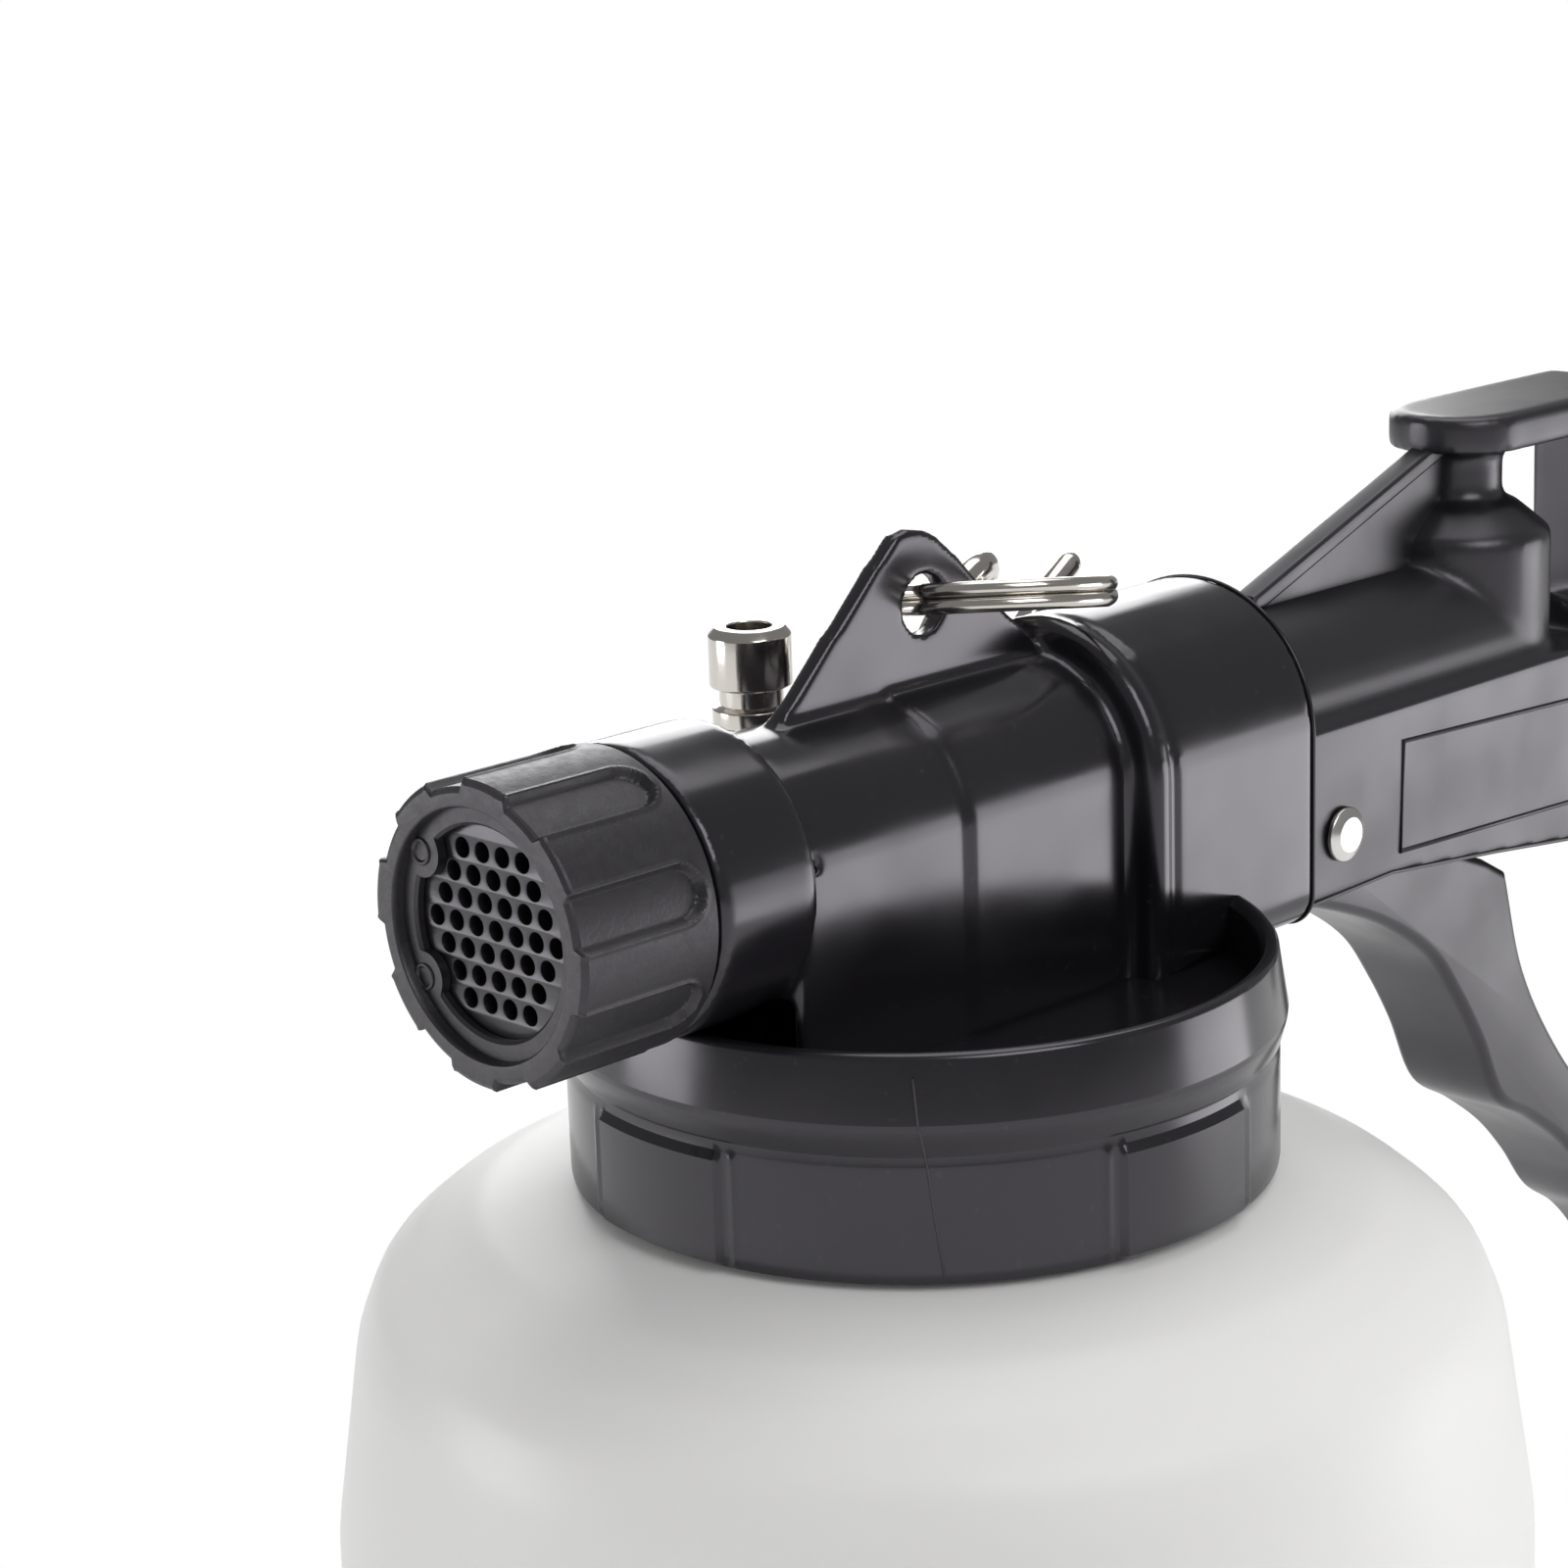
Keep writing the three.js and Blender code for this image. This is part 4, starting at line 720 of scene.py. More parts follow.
bead = [(SLEEVE_FRONT + back, arch(SLEEVE_RADIUS - less, BEAD_FOOT, corner)) for back, less, corner in (
    (0.2, 1.2, 1.5), (-0.2, 0.4, 2), (-0.9, 0, 2.5), (-2.2, 0, 2.5), (-2.6, 0.45, 2.5), (-3.2, 0.45, 2.5),
    (-3.7, 0.05, 3))]
sleeve_section = arch(SLEEVE_RADIUS, SLEEVE_FOOT, 4)
sleeve_run = [
    (-34, sleeve_section), (SLEEVE_BACK + 0.7, sleeve_section),
    (SLEEVE_BACK, arch(SLEEVE_RADIUS - 0.1, SLEEVE_FOOT, 4)),
]
head_solids = [
    bar_x([(BARREL_BACK, arch(BARREL_RADIUS, WEB_FOOT)), (BARREL_STEP_X, arch(BARREL_RADIUS, WEB_FOOT)),
           (BARREL_STEP_X + 0.35, arch(BARREL_FRONT_RADIUS, WEB_FOOT)),
           (COLLAR_X + 0.5, arch(BARREL_FRONT_RADIUS, WEB_FOOT))]),
    rod_x([(0, COLLAR_X), (COLLAR_RADIUS, COLLAR_X, 0.7), (COLLAR_RADIUS, COLLAR_END, 0.4), (0, COLLAR_END)]),
    bar_x(bead + sleeve_run),
    slab(FIN_OUTLINE, -FIN_HALF, FIN_HALF),
]
head_cuts = [
    rod_x([(0, COLLAR_FLOOR), (COLLAR_BORE, COLLAR_FLOOR), (COLLAR_BORE, COLLAR_END + 2), (0, COLLAR_END + 2)]),
    bar_x([(SLEEVE_BACK - 2, arch(SLEEVE_BORE, SLEEVE_BORE_FOOT)),
           (SLEEVE_FLOOR, arch(SLEEVE_BORE, SLEEVE_BORE_FOOT))]),
    along_y(spun([(0, -4), (FIN_HOLE_RADIUS, -4), (FIN_HOLE_RADIUS, 4), (0, 4)], 48), *FIN_HOLE),
    box(*WEB_POCKET),
]
barrel = fused("barrel_and_sleeve", head_solids, head_cuts, HEAD_VOXEL, 3)
seam = [(SLEEVE_BACK + 0.25, y, z) for y, z in sleeve_section + sleeve_section[:1]]
flash_route = []
for flash_turn, flash_radius, flash_height in CAP_FLASH:
    flash_at = math.radians(flash_turn)
    flash_route.append((flash_radius * math.cos(flash_at), flash_radius * math.sin(flash_at), flash_height))
joined(barrel, thin_line("sleeve_flash", seam, 0.22))
joined(barrel, thin_line("cap_flash", flash_route, 0.12))
barrel.data.materials.append(gloss_black)
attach(barrel, "head")
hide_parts("venturi_head")

# ---- silencer ----------------------------------------------------------------------------------
# A matt black push-in cap with a fine leathery skin, eight shallow U-ended flutes, and a recessed
# perforated disc that lets the spent air out. Two small lobes on its lip hold the disc.
SILENCER_RADIUS = 14.8
SILENCER_BACK = 41.8
SILENCER_END = 58.7
SILENCER_BORE = 12
FLUTE_COUNT = 8
FLUTE_START = math.radians(15)
FLUTE_HALF = 2.7
FLUTE_DEPTH = 0.8
HOLE_PITCH = 2.8
HOLE_RADIUS = 1.0
HOLE_ROWS = 7
GRILLE_X = 54.4
GRILLE_THICKNESS = 2
GRILLE_EASE = 0.12
SILENCER_SIDES = 560
SILENCER_ROWS = 64
SHELF_BORE = 10.2
SHELF_X = (56.5, 57.5)
LOBE_RADIUS = 2.5
LOBES = [(-8.9, 6.3), (-9.4, -6.0)]  # along Y and up from the barrel's axis
FLUTE_RIM = 0.14
MATT_BLACK = (0.0115, 0.0105, 0.0125)
SATIN_BLACK = (0.0095, 0.0088, 0.0108)
FLUTE_EDGE_WIDTH = 0.45
SILENCER_EDGE_ANGLE = math.radians(24)
SHELF_EDGE_ANGLE = math.radians(30)


def flute_swell(angle, radius, x):
    """The flutes sink into the side, with a thin lip round each."""
    if radius < SILENCER_RADIUS - 1 or x < SILENCER_BACK + 0.6:
        return 0
    around = (angle - FLUTE_START) % (2 * math.pi / FLUTE_COUNT)
    around = min(around, 2 * math.pi / FLUTE_COUNT - around) * SILENCER_RADIUS
    closed_end = SILENCER_BACK + 1.6 + FLUTE_HALF
    away = math.hypot(around, min(x - closed_end, 0)) - FLUTE_HALF
    sunk = 1 - min(max((away + 0.35) / FLUTE_EDGE_WIDTH, 0), 1)
    lip = math.exp(-((away - 0.25) / 0.22) ** 2)
    return FLUTE_RIM * lip - FLUTE_DEPTH * sunk


def shelf_swell(angle, radius, x):
    """The shelf inside the lip reaches in round each lobe."""
    if radius > SHELF_BORE + 0.6:
        return 0
    here = Vector((math.cos(angle), math.sin(angle)))
    reach = radius
    for lobe in LOBES:
        middle = Vector(lobe)
        along = here.dot(middle)
        apart = LOBE_RADIUS ** 2 - (middle.length_squared - along ** 2)
        if along > 0 and apart > 0:
            reach = min(reach, along - math.sqrt(apart))
    return reach - radius


silencer_run = SILENCER_END - 1 - SILENCER_BACK
silencer_rows = [(SILENCER_RADIUS, SILENCER_BACK + 0.5 + silencer_run * i / SILENCER_ROWS)
                 for i in range(SILENCER_ROWS + 1)]
silencer_line = rounded([(9.6, 29.5), (11.3, 29.5, 0.4), (11.3, SILENCER_BACK), (14.3, SILENCER_BACK, 0.2)])
silencer_line += silencer_rows
silencer_line += rounded([
    (SILENCER_RADIUS - 0.15, SILENCER_END - 0.25), (SILENCER_RADIUS - 0.6, SILENCER_END, 0.2),
    (SILENCER_BORE + 0.2, SILENCER_END, 0.2), (SILENCER_BORE, SILENCER_END - 0.5), (SILENCER_BORE, 47),
    (9.6, 46)])
silencer_shape = along_x(spun(silencer_line, SILENCER_SIDES, swell=flute_swell, closed=True))
silencer = smoothed(mesh_object("silencer_shell", silencer_shape), SILENCER_EDGE_ANGLE)
shelf_front = SHELF_X[1]
shelf_line = rounded([
    (SHELF_BORE, SHELF_X[0]), (SILENCER_BORE + 0.3, SHELF_X[0]), (SILENCER_BORE + 0.3, shelf_front),
    (SHELF_BORE + 0.3, shelf_front), (SHELF_BORE, shelf_front - 0.3)])
shelf = along_x(spun(shelf_line, 360, swell=shelf_swell, closed=True))
joined(silencer, smoothed(mesh_object("shelf", shelf), SHELF_EDGE_ANGLE))
socket_line = rounded([
    (0.85, shelf_front - 0.4), (1.35, shelf_front - 0.4), (1.35, shelf_front + 0.22, 0.15),
    (1.05, shelf_front + 0.22, 0.15), (0.85, shelf_front)])
for lobe_y, lobe_up in LOBES:
    socket = along_x(spun(socket_line, 32, closed=True), lobe_y, BARREL_Z + lobe_up)
    joined(silencer, smoothed(mesh_object("lobe_ring", socket)))
matt_black = plastic("leathery_black_moulding", MATT_BLACK, roughness=0.44, spread=0.05, gloss=0.8,
                     grain=2600, depth=0.00004, wave=900, wave_share=0.35, dust=0.04)
silencer.data.materials.append(matt_black)
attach(silencer, "head")
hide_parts("silencer_cap")


def perforated_disc():
    """The disc's front outline and its holes as one filled flat curve, given its thickness."""
    curve = bpy.data.curves.new("grille_outline", "CURVE")
    curve.dimensions = "2D"
    curve.fill_mode = "BOTH"
    curve.extrude = (GRILLE_THICKNESS / 2 - GRILLE_EASE) * MM
    curve.bevel_depth = GRILLE_EASE * MM
    curve.bevel_resolution = 1
    rings = [(0, 0, SILENCER_BORE - 0.45, 96)]
    for row in range(HOLE_ROWS):
        from_middle = row - (HOLE_ROWS - 1) / 2
        count = HOLE_ROWS - int(abs(from_middle))
        for k in range(count):
            across = (k - (count - 1) / 2) * HOLE_PITCH
            rings.append((across, from_middle * HOLE_PITCH * math.sqrt(3) / 2, HOLE_RADIUS + 0.1, 20))
    for across, up, radius, sides in rings:
        run = curve.splines.new("POLY")
        run.points.add(sides - 1)
        run.use_cyclic_u = True
        for k in range(sides):
            angle = 2 * math.pi * k / sides
            x = across + radius * math.cos(angle)
            y = up + radius * math.sin(angle)
            run.points[k].co = (x * MM, y * MM, 0, 1)
    flat = bpy.data.objects.new("grille_flat", curve)
    scene.collection.objects.link(flat)
    mesh = bpy.data.meshes.new_from_object(flat.evaluated_get(bpy.context.evaluated_depsgraph_get()))
    bpy.data.objects.remove(flat)
    turn = Matrix(((0, 0, 1, 0), (1, 0, 0, 0), (0, 1, 0, 0), (0, 0, 0, 1)))
    middle = place((GRILLE_X + GRILLE_THICKNESS / 2, 0, BARREL_Z))
    mesh.transform(Matrix.Translation(middle) @ turn)
    built = bmesh.new()
    built.from_mesh(mesh)
    bmesh.ops.remove_doubles(built, verts=built.verts, dist=WELD)
    bmesh.ops.recalc_face_normals(built, faces=built.faces)
    built.to_mesh(mesh)
    built.free()
    made = bpy.data.objects.new("silencer_disc", mesh)
    scene.collection.objects.link(made)
    return made


satin_black = plastic("satin_black_moulding", SATIN_BLACK, roughness=0.34, spread=0.05, gloss=0.8,
                      grain=2600, depth=0.000008, wave=90, wave_share=0.6, dust=0.03)
grille = smoothed(perforated_disc())
grille.data.materials.append(satin_black)
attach(grille, "head")
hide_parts("silencer_grille")

# ---- gun body ----------------------------------------------------------------------------------
# The pistol-grip air gun is one satin moulding pushed into the sleeve: a half-round spine, flat
# sides open below for the trigger, a stub tower with a hanging loop, and a ribbed sloping grip.
GRIP_SLOPE = math.radians(17.1)
GRIP_START = (-133.5, 13.5)
RIB_COUNT = 9
RIB_PITCH = 13.5
RIB_WIDTH = 3.8
RIB_PROUD = 2.5
RIB_SIDE = 1.2
RIB_DROP = 24
BODY_HALF = 12.4
CHANNEL_HALF = 10
BLOCK_CHAMFER = 26
BLOCK_BOTTOM = 37
BLOCK_HALF_LOW = 7
BLOCK_FRONT_X = -175.5
TOWER_X = -95
LOOP_TOP = 42.3
LOOP_HALF = 8.3
LOOP_BACK = -130
GUN_VOXEL = 0.62
VALVE_X = -72
GUN_FRONT = SLEEVE_BACK - 0.3
FLANGE_AT = (RIB_COUNT - 1) * RIB_PITCH
FLANGE_HALF = 2
LOOP_UNDER = LOOP_TOP - 4.5
TOWER_RADIUS = 10.8
TOWER_SIDES = 96
POST_RADIUS = 5
SPINE_RADIUS = 10.9
VALVE_GLAND = (6.8, 2, 8.8)  # radius, foot and top of the seat's place
VALVE_CHAMBER = (5, 8, 22.7)
CLIP_BOSS = [(-205.5, -42.5), (-209.5, -42.5), (-209.5, -46.5), (-205.5, -46.5)]
CLIP_BOSS_HALF = 12.9
ROOF_DROP = 19.1  # from the grip's slope down to the trigger slot's roof
INLET_DEPTH = 14
INLET_OUT = -14
INLET_SOCKET = 7.4
GRIP_WALL = -17
CROWN_STEPS = 40
PANEL = [(-105.2, 7.3), (-67, 9.2), (-66.6, -3.6), (-104.8, -5.3)]
PANEL_FACE = BODY_HALF + 0.02
GUSSET = [(-52.5, 20), (-52.5, 25.2, 1), (-53.9, 26.6, 1), (-90, 39.5), (-95, 40.5), (-95, 20)]
GUSSET_BEAD = [(-53.2, 24.8), (-54, 26.7), (-91, 39.9), (-91, 37.6), (-56, 25.0)]
RIB_CROWN = [(-0.5, -0.9), (-0.36, -0.25), (-0.15, 0), (0.15, 0), (0.36, -0.25), (0.5, -0.9)]
THIN_SHARE = 0.45
EASED_ANGLE = math.radians(12)


def grip_point(along, out):
    """The (x, z) of a point so far down the grip and so far out from its top."""
    return (GRIP_START[0] - along * math.cos(GRIP_SLOPE) - out * math.sin(GRIP_SLOPE),
            GRIP_START[1] - along * math.sin(GRIP_SLOPE) + out * math.cos(GRIP_SLOPE))


def grip_bar(stations):
    """[(distance down the grip, section in (y, out))] as a solid."""
    sections = []
    for along, section in stations:
        sections.append([(grip_point(along, out)[0], y, grip_point(along, out)[1]) for y, out in section])
    return loft(sections)


def top_at(x):
    """The height of the grip's slope at x."""
    return GRIP_START[1] + (x - GRIP_START[0]) * math.tan(GRIP_SLOPE)


def grip_section(half, crown, foot):
    """Half-round top at crown with flat sides, then what foot adds below as (half width, out)."""
    turns = [math.pi * i / CROWN_STEPS for i in range(CROWN_STEPS + 1)]
    points = [(half * math.cos(turn), crown - half + half * math.sin(turn)) for turn in turns]
    points += [(-wide, out) for wide, out in foot]
    points += [(wide, out) for wide, out in reversed(foot)]
    return points


block_front = (BLOCK_FRONT_X - GRIP_START[0] - BLOCK_BOTTOM * math.sin(GRIP_SLOPE)) / -math.cos(GRIP_SLOPE)
block_from = block_front - 12
grip_upper = grip_section(BODY_HALF, -RIB_PROUD, [(BODY_HALF, GRIP_WALL)])
grip_lower = grip_section(BODY_HALF, -RIB_PROUD, [
    (BODY_HALF, -BLOCK_CHAMFER), (BLOCK_HALF_LOW, -BLOCK_BOTTOM)])
flange_section = grip_section(BODY_HALF + RIB_SIDE, 0, [
    (BODY_HALF + RIB_SIDE, -BLOCK_CHAMFER), (BLOCK_HALF_LOW + 1, -BLOCK_BOTTOM - 1.6)])
skirt_line = [
    (GUN_FRONT, -6.5), (-65, -6, 4), (-100.7, -10, 4), (-121, -9.6, 5), (-168, -28, 4), (-173, -33.5, 2),
    (BLOCK_FRONT_X, top_at(BLOCK_FRONT_X) - BLOCK_BOTTOM / math.cos(GRIP_SLOPE)),
]
flat_line = [(GUN_FRONT, -6.2), (-65, -5.7), (-85, -7.8), (-100.7, -9.7), (-121, -9.3), (-139, -16.3)]
front_walls = slab([
    *skirt_line[:4], (-139, -16.6), (-139, 7), (-118, 13.8, 6), (-100, 13.8), (GUN_FRONT, 13.8),
], -BODY_HALF, BODY_HALF)
middle_walls = slab([
    (-112, -9.7), *skirt_line[3:], (-183, -38), (-181, -18), (-150, -6), (-112, 6),
], -BODY_HALF, BODY_HALF)
gun_solids = [
    rod_x([(0, TOWER_X), (SPINE_RADIUS, TOWER_X), (SPINE_RADIUS, GUN_FRONT), (0, GUN_FRONT)]),
    front_walls,
    middle_walls,
    grip_bar([(-24, grip_upper), (FLANGE_AT, grip_upper)]),
    grip_bar([(block_from + 5, grip_lower), (FLANGE_AT, grip_lower)]),
    grip_bar([(FLANGE_AT - FLANGE_HALF, flange_section), (FLANGE_AT + FLANGE_HALF, flange_section)]),
    rod_z(TOWER_RADIUS, 6, 28, TOWER_X, 0, sides=TOWER_SIDES),
    moved(spun([(0, 27), (TOWER_RADIUS, 27.9), (6.5, 31.5), (0, 31.5)], TOWER_SIDES), TOWER_X, 0),
    rod_z(POST_RADIUS, 20, 41, TOWER_X, 0),
    rod_z(LOOP_HALF, LOOP_UNDER, LOOP_TOP, TOWER_X, 0, sides=TOWER_SIDES),
    slab([(TOWER_X, LOOP_UNDER), (TOWER_X, LOOP_TOP), (LOOP_BACK, LOOP_TOP, 6), (-131.5, 10), (-123, 12),
          (-122.4, LOOP_TOP - 5.5, 1), (-121, LOOP_UNDER)], -LOOP_HALF, LOOP_HALF),
    slab(CLIP_BOSS, -CLIP_BOSS_HALF, CLIP_BOSS_HALF),
]


def repeated(name, shape, count, step):
    """Copies of a shape at even steps, made by a Geometry Nodes tree and turned into a plain mesh."""
    made = mesh_object(name, shape)
    tree = bpy.data.node_groups.new(name + "_row", "GeometryNodeTree")
    face = tree.interface
    face.new_socket("Geometry", in_out="INPUT", socket_type="NodeSocketGeometry")
    count_input = face.new_socket("Count", in_out="INPUT", socket_type="NodeSocketInt")
    step_input = face.new_socket("Step", in_out="INPUT", socket_type="NodeSocketVector")
    finish_input = face.new_socket("Finish", in_out="INPUT", socket_type="NodeSocketMaterial")
    face.new_socket("Geometry", in_out="OUTPUT", socket_type="NodeSocketGeometry")
    source = tree.nodes.new("NodeGroupInput")
    result = tree.nodes.new("NodeGroupOutput")
    row = tree.nodes.new("GeometryNodeMeshLine")
    row.mode = "OFFSET"
    copies = tree.nodes.new("GeometryNodeInstanceOnPoints")
    real = tree.nodes.new("GeometryNodeRealizeInstances")
    coated = tree.nodes.new("GeometryNodeSetMaterial")
    link = tree.links.new
    link(source.outputs["Count"], row.inputs["Count"])
    link(source.outputs["Step"], row.inputs["Offset"])
    link(row.outputs["Mesh"], copies.inputs["Points"])
    link(source.outputs["Geometry"], copies.inputs["Instance"])
    link(copies.outputs["Instances"], real.inputs["Geometry"])
    link(real.outputs["Geometry"], coated.inputs["Geometry"])
    link(source.outputs["Finish"], coated.inputs["Material"])
    link(coated.outputs["Geometry"], result.inputs["Geometry"])
    modifier = made.modifiers.new("row", "NODES")
    modifier.node_group = tree
    modifier[count_input.identifier] = count
    modifier[step_input.identifier] = step
    modifier[finish_input.identifier] = satin_black
    view = made.evaluated_get(bpy.context.evaluated_depsgraph_get())
    made.data = bpy.data.meshes.new_from_object(view)
    made.modifiers.remove(modifier)
    made.data.materials.clear()
    return made


def rib_section(drop):
    """A slice of a grip rib, a little narrower where it drops towards its edges."""
    half = BODY_HALF + RIB_SIDE + drop * 0.7
    return grip_section(half, drop, [(half, -RIB_DROP)])


rib = grip_bar([(share * RIB_WIDTH, rib_section(drop)) for share, drop in RIB_CROWN])
rib_step = (-RIB_PITCH * math.cos(GRIP_SLOPE) * MM, 0, -RIB_PITCH * math.sin(GRIP_SLOPE) * MM)
ribs = repeated("grip_ribs", rib, RIB_COUNT - 1, rib_step)
slot_line = [
    (-49, -60), (-49, 5.4), (-63.5, 5.4), (-63.5, 3.2), (-80.5, 3.2), (-80.5, 6.6), (-94, 6.6),
    (-98, top_at(-98) - ROOF_DROP), (-168, top_at(-168) - ROOF_DROP),
    (BLOCK_FRONT_X + 1.5, top_at(-168) - 25),
    (BLOCK_FRONT_X + 1.5, -60),
]
inlet_bore = spun([(0, 0), (INLET_SOCKET, 0), (INLET_SOCKET, 20), (0, 20)], 64)
inlet_turn = Matrix((
    (-math.sin(GRIP_SLOPE), 0, -math.cos(GRIP_SLOPE)), (0, 1, 0),
    (math.cos(GRIP_SLOPE), 0, -math.sin(GRIP_SLOPE))))


def down_grip(shape, along, out):
    """A shape turned about Z, laid along the grip."""
    x, z = grip_point(along, out)
    return [inlet_turn @ v + Vector((x, 0, z)) for v in shape[0]], shape[1]


def eased_slab(name, outline, half, ease, steps=5, thin_from=math.inf):
    """A flat moulding in (x, z), its edges rounded over; past thin_from it is rounded half as far."""
    points = [Vector(p) for p in outline]
    count = len(points)
    area = sum(points[i - 1].x * points[i].y - points[i].x * points[i - 1].y for i in range(count))
    inward = []
    for i in range(count):
        back = (points[i] - points[i - 1]).normalized()
        ahead = (points[(i + 1) % count] - points[i]).normalized()
        normal = Vector((-back.y - ahead.y, back.x + ahead.x)).normalized()
        wide = max(abs(normal.dot(Vector((-back.y, back.x)))), 0.5)
        share = THIN_SHARE if points[i].x > thin_from else 1
        inward.append(normal / wide * (share if area > 0 else -share))
    sections = []
    for side in (-1, 1):
        for k in range(steps + 1) if side < 0 else range(steps, -1, -1):
            angle = math.pi / 2 * k / steps
            inset = ease * (1 - math.sin(angle))
            across = side * (half - ease + ease * math.cos(angle))
            sections.append([(p.x + n.x * inset, across, p.y + n.y * inset) for p, n in zip(points, inward)])
    return smoothed(mesh_object(name, loft(sections)), EASED_ANGLE)


gun_cuts = [
    slab(slot_line, -CHANNEL_HALF, CHANNEL_HALF),
    down_grip(inlet_bore, FLANGE_AT - INLET_DEPTH, INLET_OUT),
    rod_z(*VALVE_GLAND, VALVE_X, 0),
    rod_z(*VALVE_CHAMBER, VALVE_X, 0),
]
gun = fused("gun_moulding", gun_solids, gun_cuts, GUN_VOXEL, 4, grown=[ribs])
joined(gun, eased_slab("gusset", rounded(GUSSET), 1, 0.25, 3))
joined(gun, eased_slab("gusset_bead", GUSSET_BEAD, 1.6, 0.7))
joined(gun, thin_line("blank_panel", [(x, PANEL_FACE, z) for x, z in PANEL + PANEL[:1]], 0.28))
joined(gun, thin_line("skirt_edge", [(x, BODY_HALF - 0.1, z) for x, z in flat_line], 0.3))
gun.data.materials.append(satin_black)
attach(gun, "head")
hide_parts("gun_body")

# ---- brass air inlet ---------------------------------------------------------------------------
# A turned brass union screwed into the end of the grip: a hexagon with a groove round it and a
# bright bored end, on a thin black seal.
HEX_FROM = FLANGE_AT + 4.1
HEX_RADIUS = 12
HEX_EASED = 11.75
BRASS = (0.78, 0.52, 0.2)
BRASS_TARNISH = (0.35, 0.24, 0.1)


def hexed(profile):
    """A turned profile whose wide part is cut to a hexagon with eased corners."""
    def flats(angle, radius, height):
        if radius < HEX_RADIUS - 1.1:
            return 0
        near = (angle + math.pi / 6) % (math.pi / 3) - math.pi / 6
        flat = HEX_RADIUS * math.cos(math.pi / 6) / math.cos(math.pi / 6 - abs(near))
        return min(radius, flat, HEX_EASED) - radius
    return spun(rounded(profile), 240, swell=flats, closed=True)


def metal(name, colour, roughness, spread, **grain):
    """A bare or plated metal."""
    made, tree, shader = finish(name, colour, roughness, 1.0)
    return worn(made, tree, shader, colour, roughness, spread, **grain)


inlet_profile = [
    (6.1, -14), (6.9, -14, 0.3), (7.1, -13), (7.1, 0), (10.4, 0, 0.2), (12, 0.7, 0.2), (12, 3.1, 0.2),
    (10.4, 3.5), (10.3, 4.9), (12, 5.4, 0.2), (12, 11.2, 0.2), (10.4, 11.9, 0.2), (9.6, 12.1, 0.3),
    (7.8, 12.1, 0.2), (7.8, 3.4), (6.1, 2),
]
inlet = smoothed(mesh_object("brass_inlet", down_grip(hexed(inlet_profile), HEX_FROM, INLET_OUT)))
brass = metal("turned_brass", BRASS, roughness=0.2, spread=0.06, grain=2200, depth=0.000008, wave=220,
              wave_share=0.4, dust=0.2, dust_colour=BRASS_TARNISH)
inlet.data.materials.append(brass)
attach(inlet, "head")
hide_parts("inlet_fitting")

# ---- trigger -----------------------------------------------------------------------------------
# A long moulded lever that hangs from a rivet behind the sleeve. Its finger edge is waved and its
# edges are well rounded; a pad on top pushes the valve stem.
PIVOT = (-55.7, 0.92)
TRIGGER_HALF = 7
TRIGGER_EASE = 1.3
EAR_RADIUS = 4.2
TOE_FROM = -50.6
FINGER_EDGE = [
    (-52, -8.6), (-58, -9.5), (-71, -14.5), (-81, -21), (-86, -27), (-90.7, -34), (-95.6, -43),
    (-102.5, -47.3), (-110, -52.7), (-115.6, -58.3), (-120.7, -64.5), (-127, -68.8), (-132.4, -74.2),
    (-137, -80.9), (-142.4, -86.6), (-147.9, -92.1), (-152.2, -99.4), (-153.7, -105.6), (-155, -112),
]
BACK_EDGE = [
    (-157.9, -109.3), (-159.3, -102.5), (-156.6, -92.9), (-152.6, -85.3), (-142.9, -72.4), (-131.6, -62.1),
    (-120.3, -51.8), (-109, -40), (-100.6, -27.3), (-96.3, -13.8),
]
PAD_EDGE = [(-92, -11.4), (-82, -7.3), (-62, -3.4)]


def flat_spline(points, steps):
    """A smooth curve through points in (x, z)."""
    return [(p.x, p.y) for p in spline([(x, z, 0) for x, z in points], steps)]


ear_turns = [math.radians(a) for a in range(190, 19, -10)]
ear = [(PIVOT[0] + EAR_RADIUS * math.cos(turn), PIVOT[1] + EAR_RADIUS * math.sin(turn)) for turn in ear_turns]
toe = rounded([(-49.5, -3), (-49.5, -5.9, 0.8), (-47.4, -6.3, 1), (-46.9, -7.4, 0.8), (-48.4, -8.1)])
trigger_outline = flat_spline(FINGER_EDGE, 7) + flat_spline(BACK_EDGE, 7) + PAD_EDGE + ear + toe
trigger = eased_slab("trigger_lever", trigger_outline, TRIGGER_HALF, TRIGGER_EASE, 8, thin_from=TOE_FROM)
trigger.data.materials.append(satin_black)
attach(trigger, "trigger")
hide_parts("trigger")

# ---- rivet -------------------------------------------------------------------------------------
# The trigger's pivot is a steel rivet with a low domed head on each side of the gun.
RIVET = [
    (0, -13.9), (2.0, -13.8, 0.6), (3.1, -13.1, 0.3), (3.1, -12.7), (2.1, -12.7), (2.1, 12.7), (3.1, 12.7),
    (3.1, 13.1, 0.3), (2.0, 13.65, 0.6), (0, 13.7),
]
STEEL = (0.7, 0.69, 0.67)
rivet = smoothed(mesh_object("trigger_rivet", along_y(spun(rounded(RIVET), 64), *PIVOT)))
steel = metal("bright_steel", STEEL, roughness=0.24, spread=0.07, grain=1800, depth=0.000008, wave=300,
              dust=0.2)
rivet.data.materials.append(steel)
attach(rivet, "head")
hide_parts("trigger_pin")

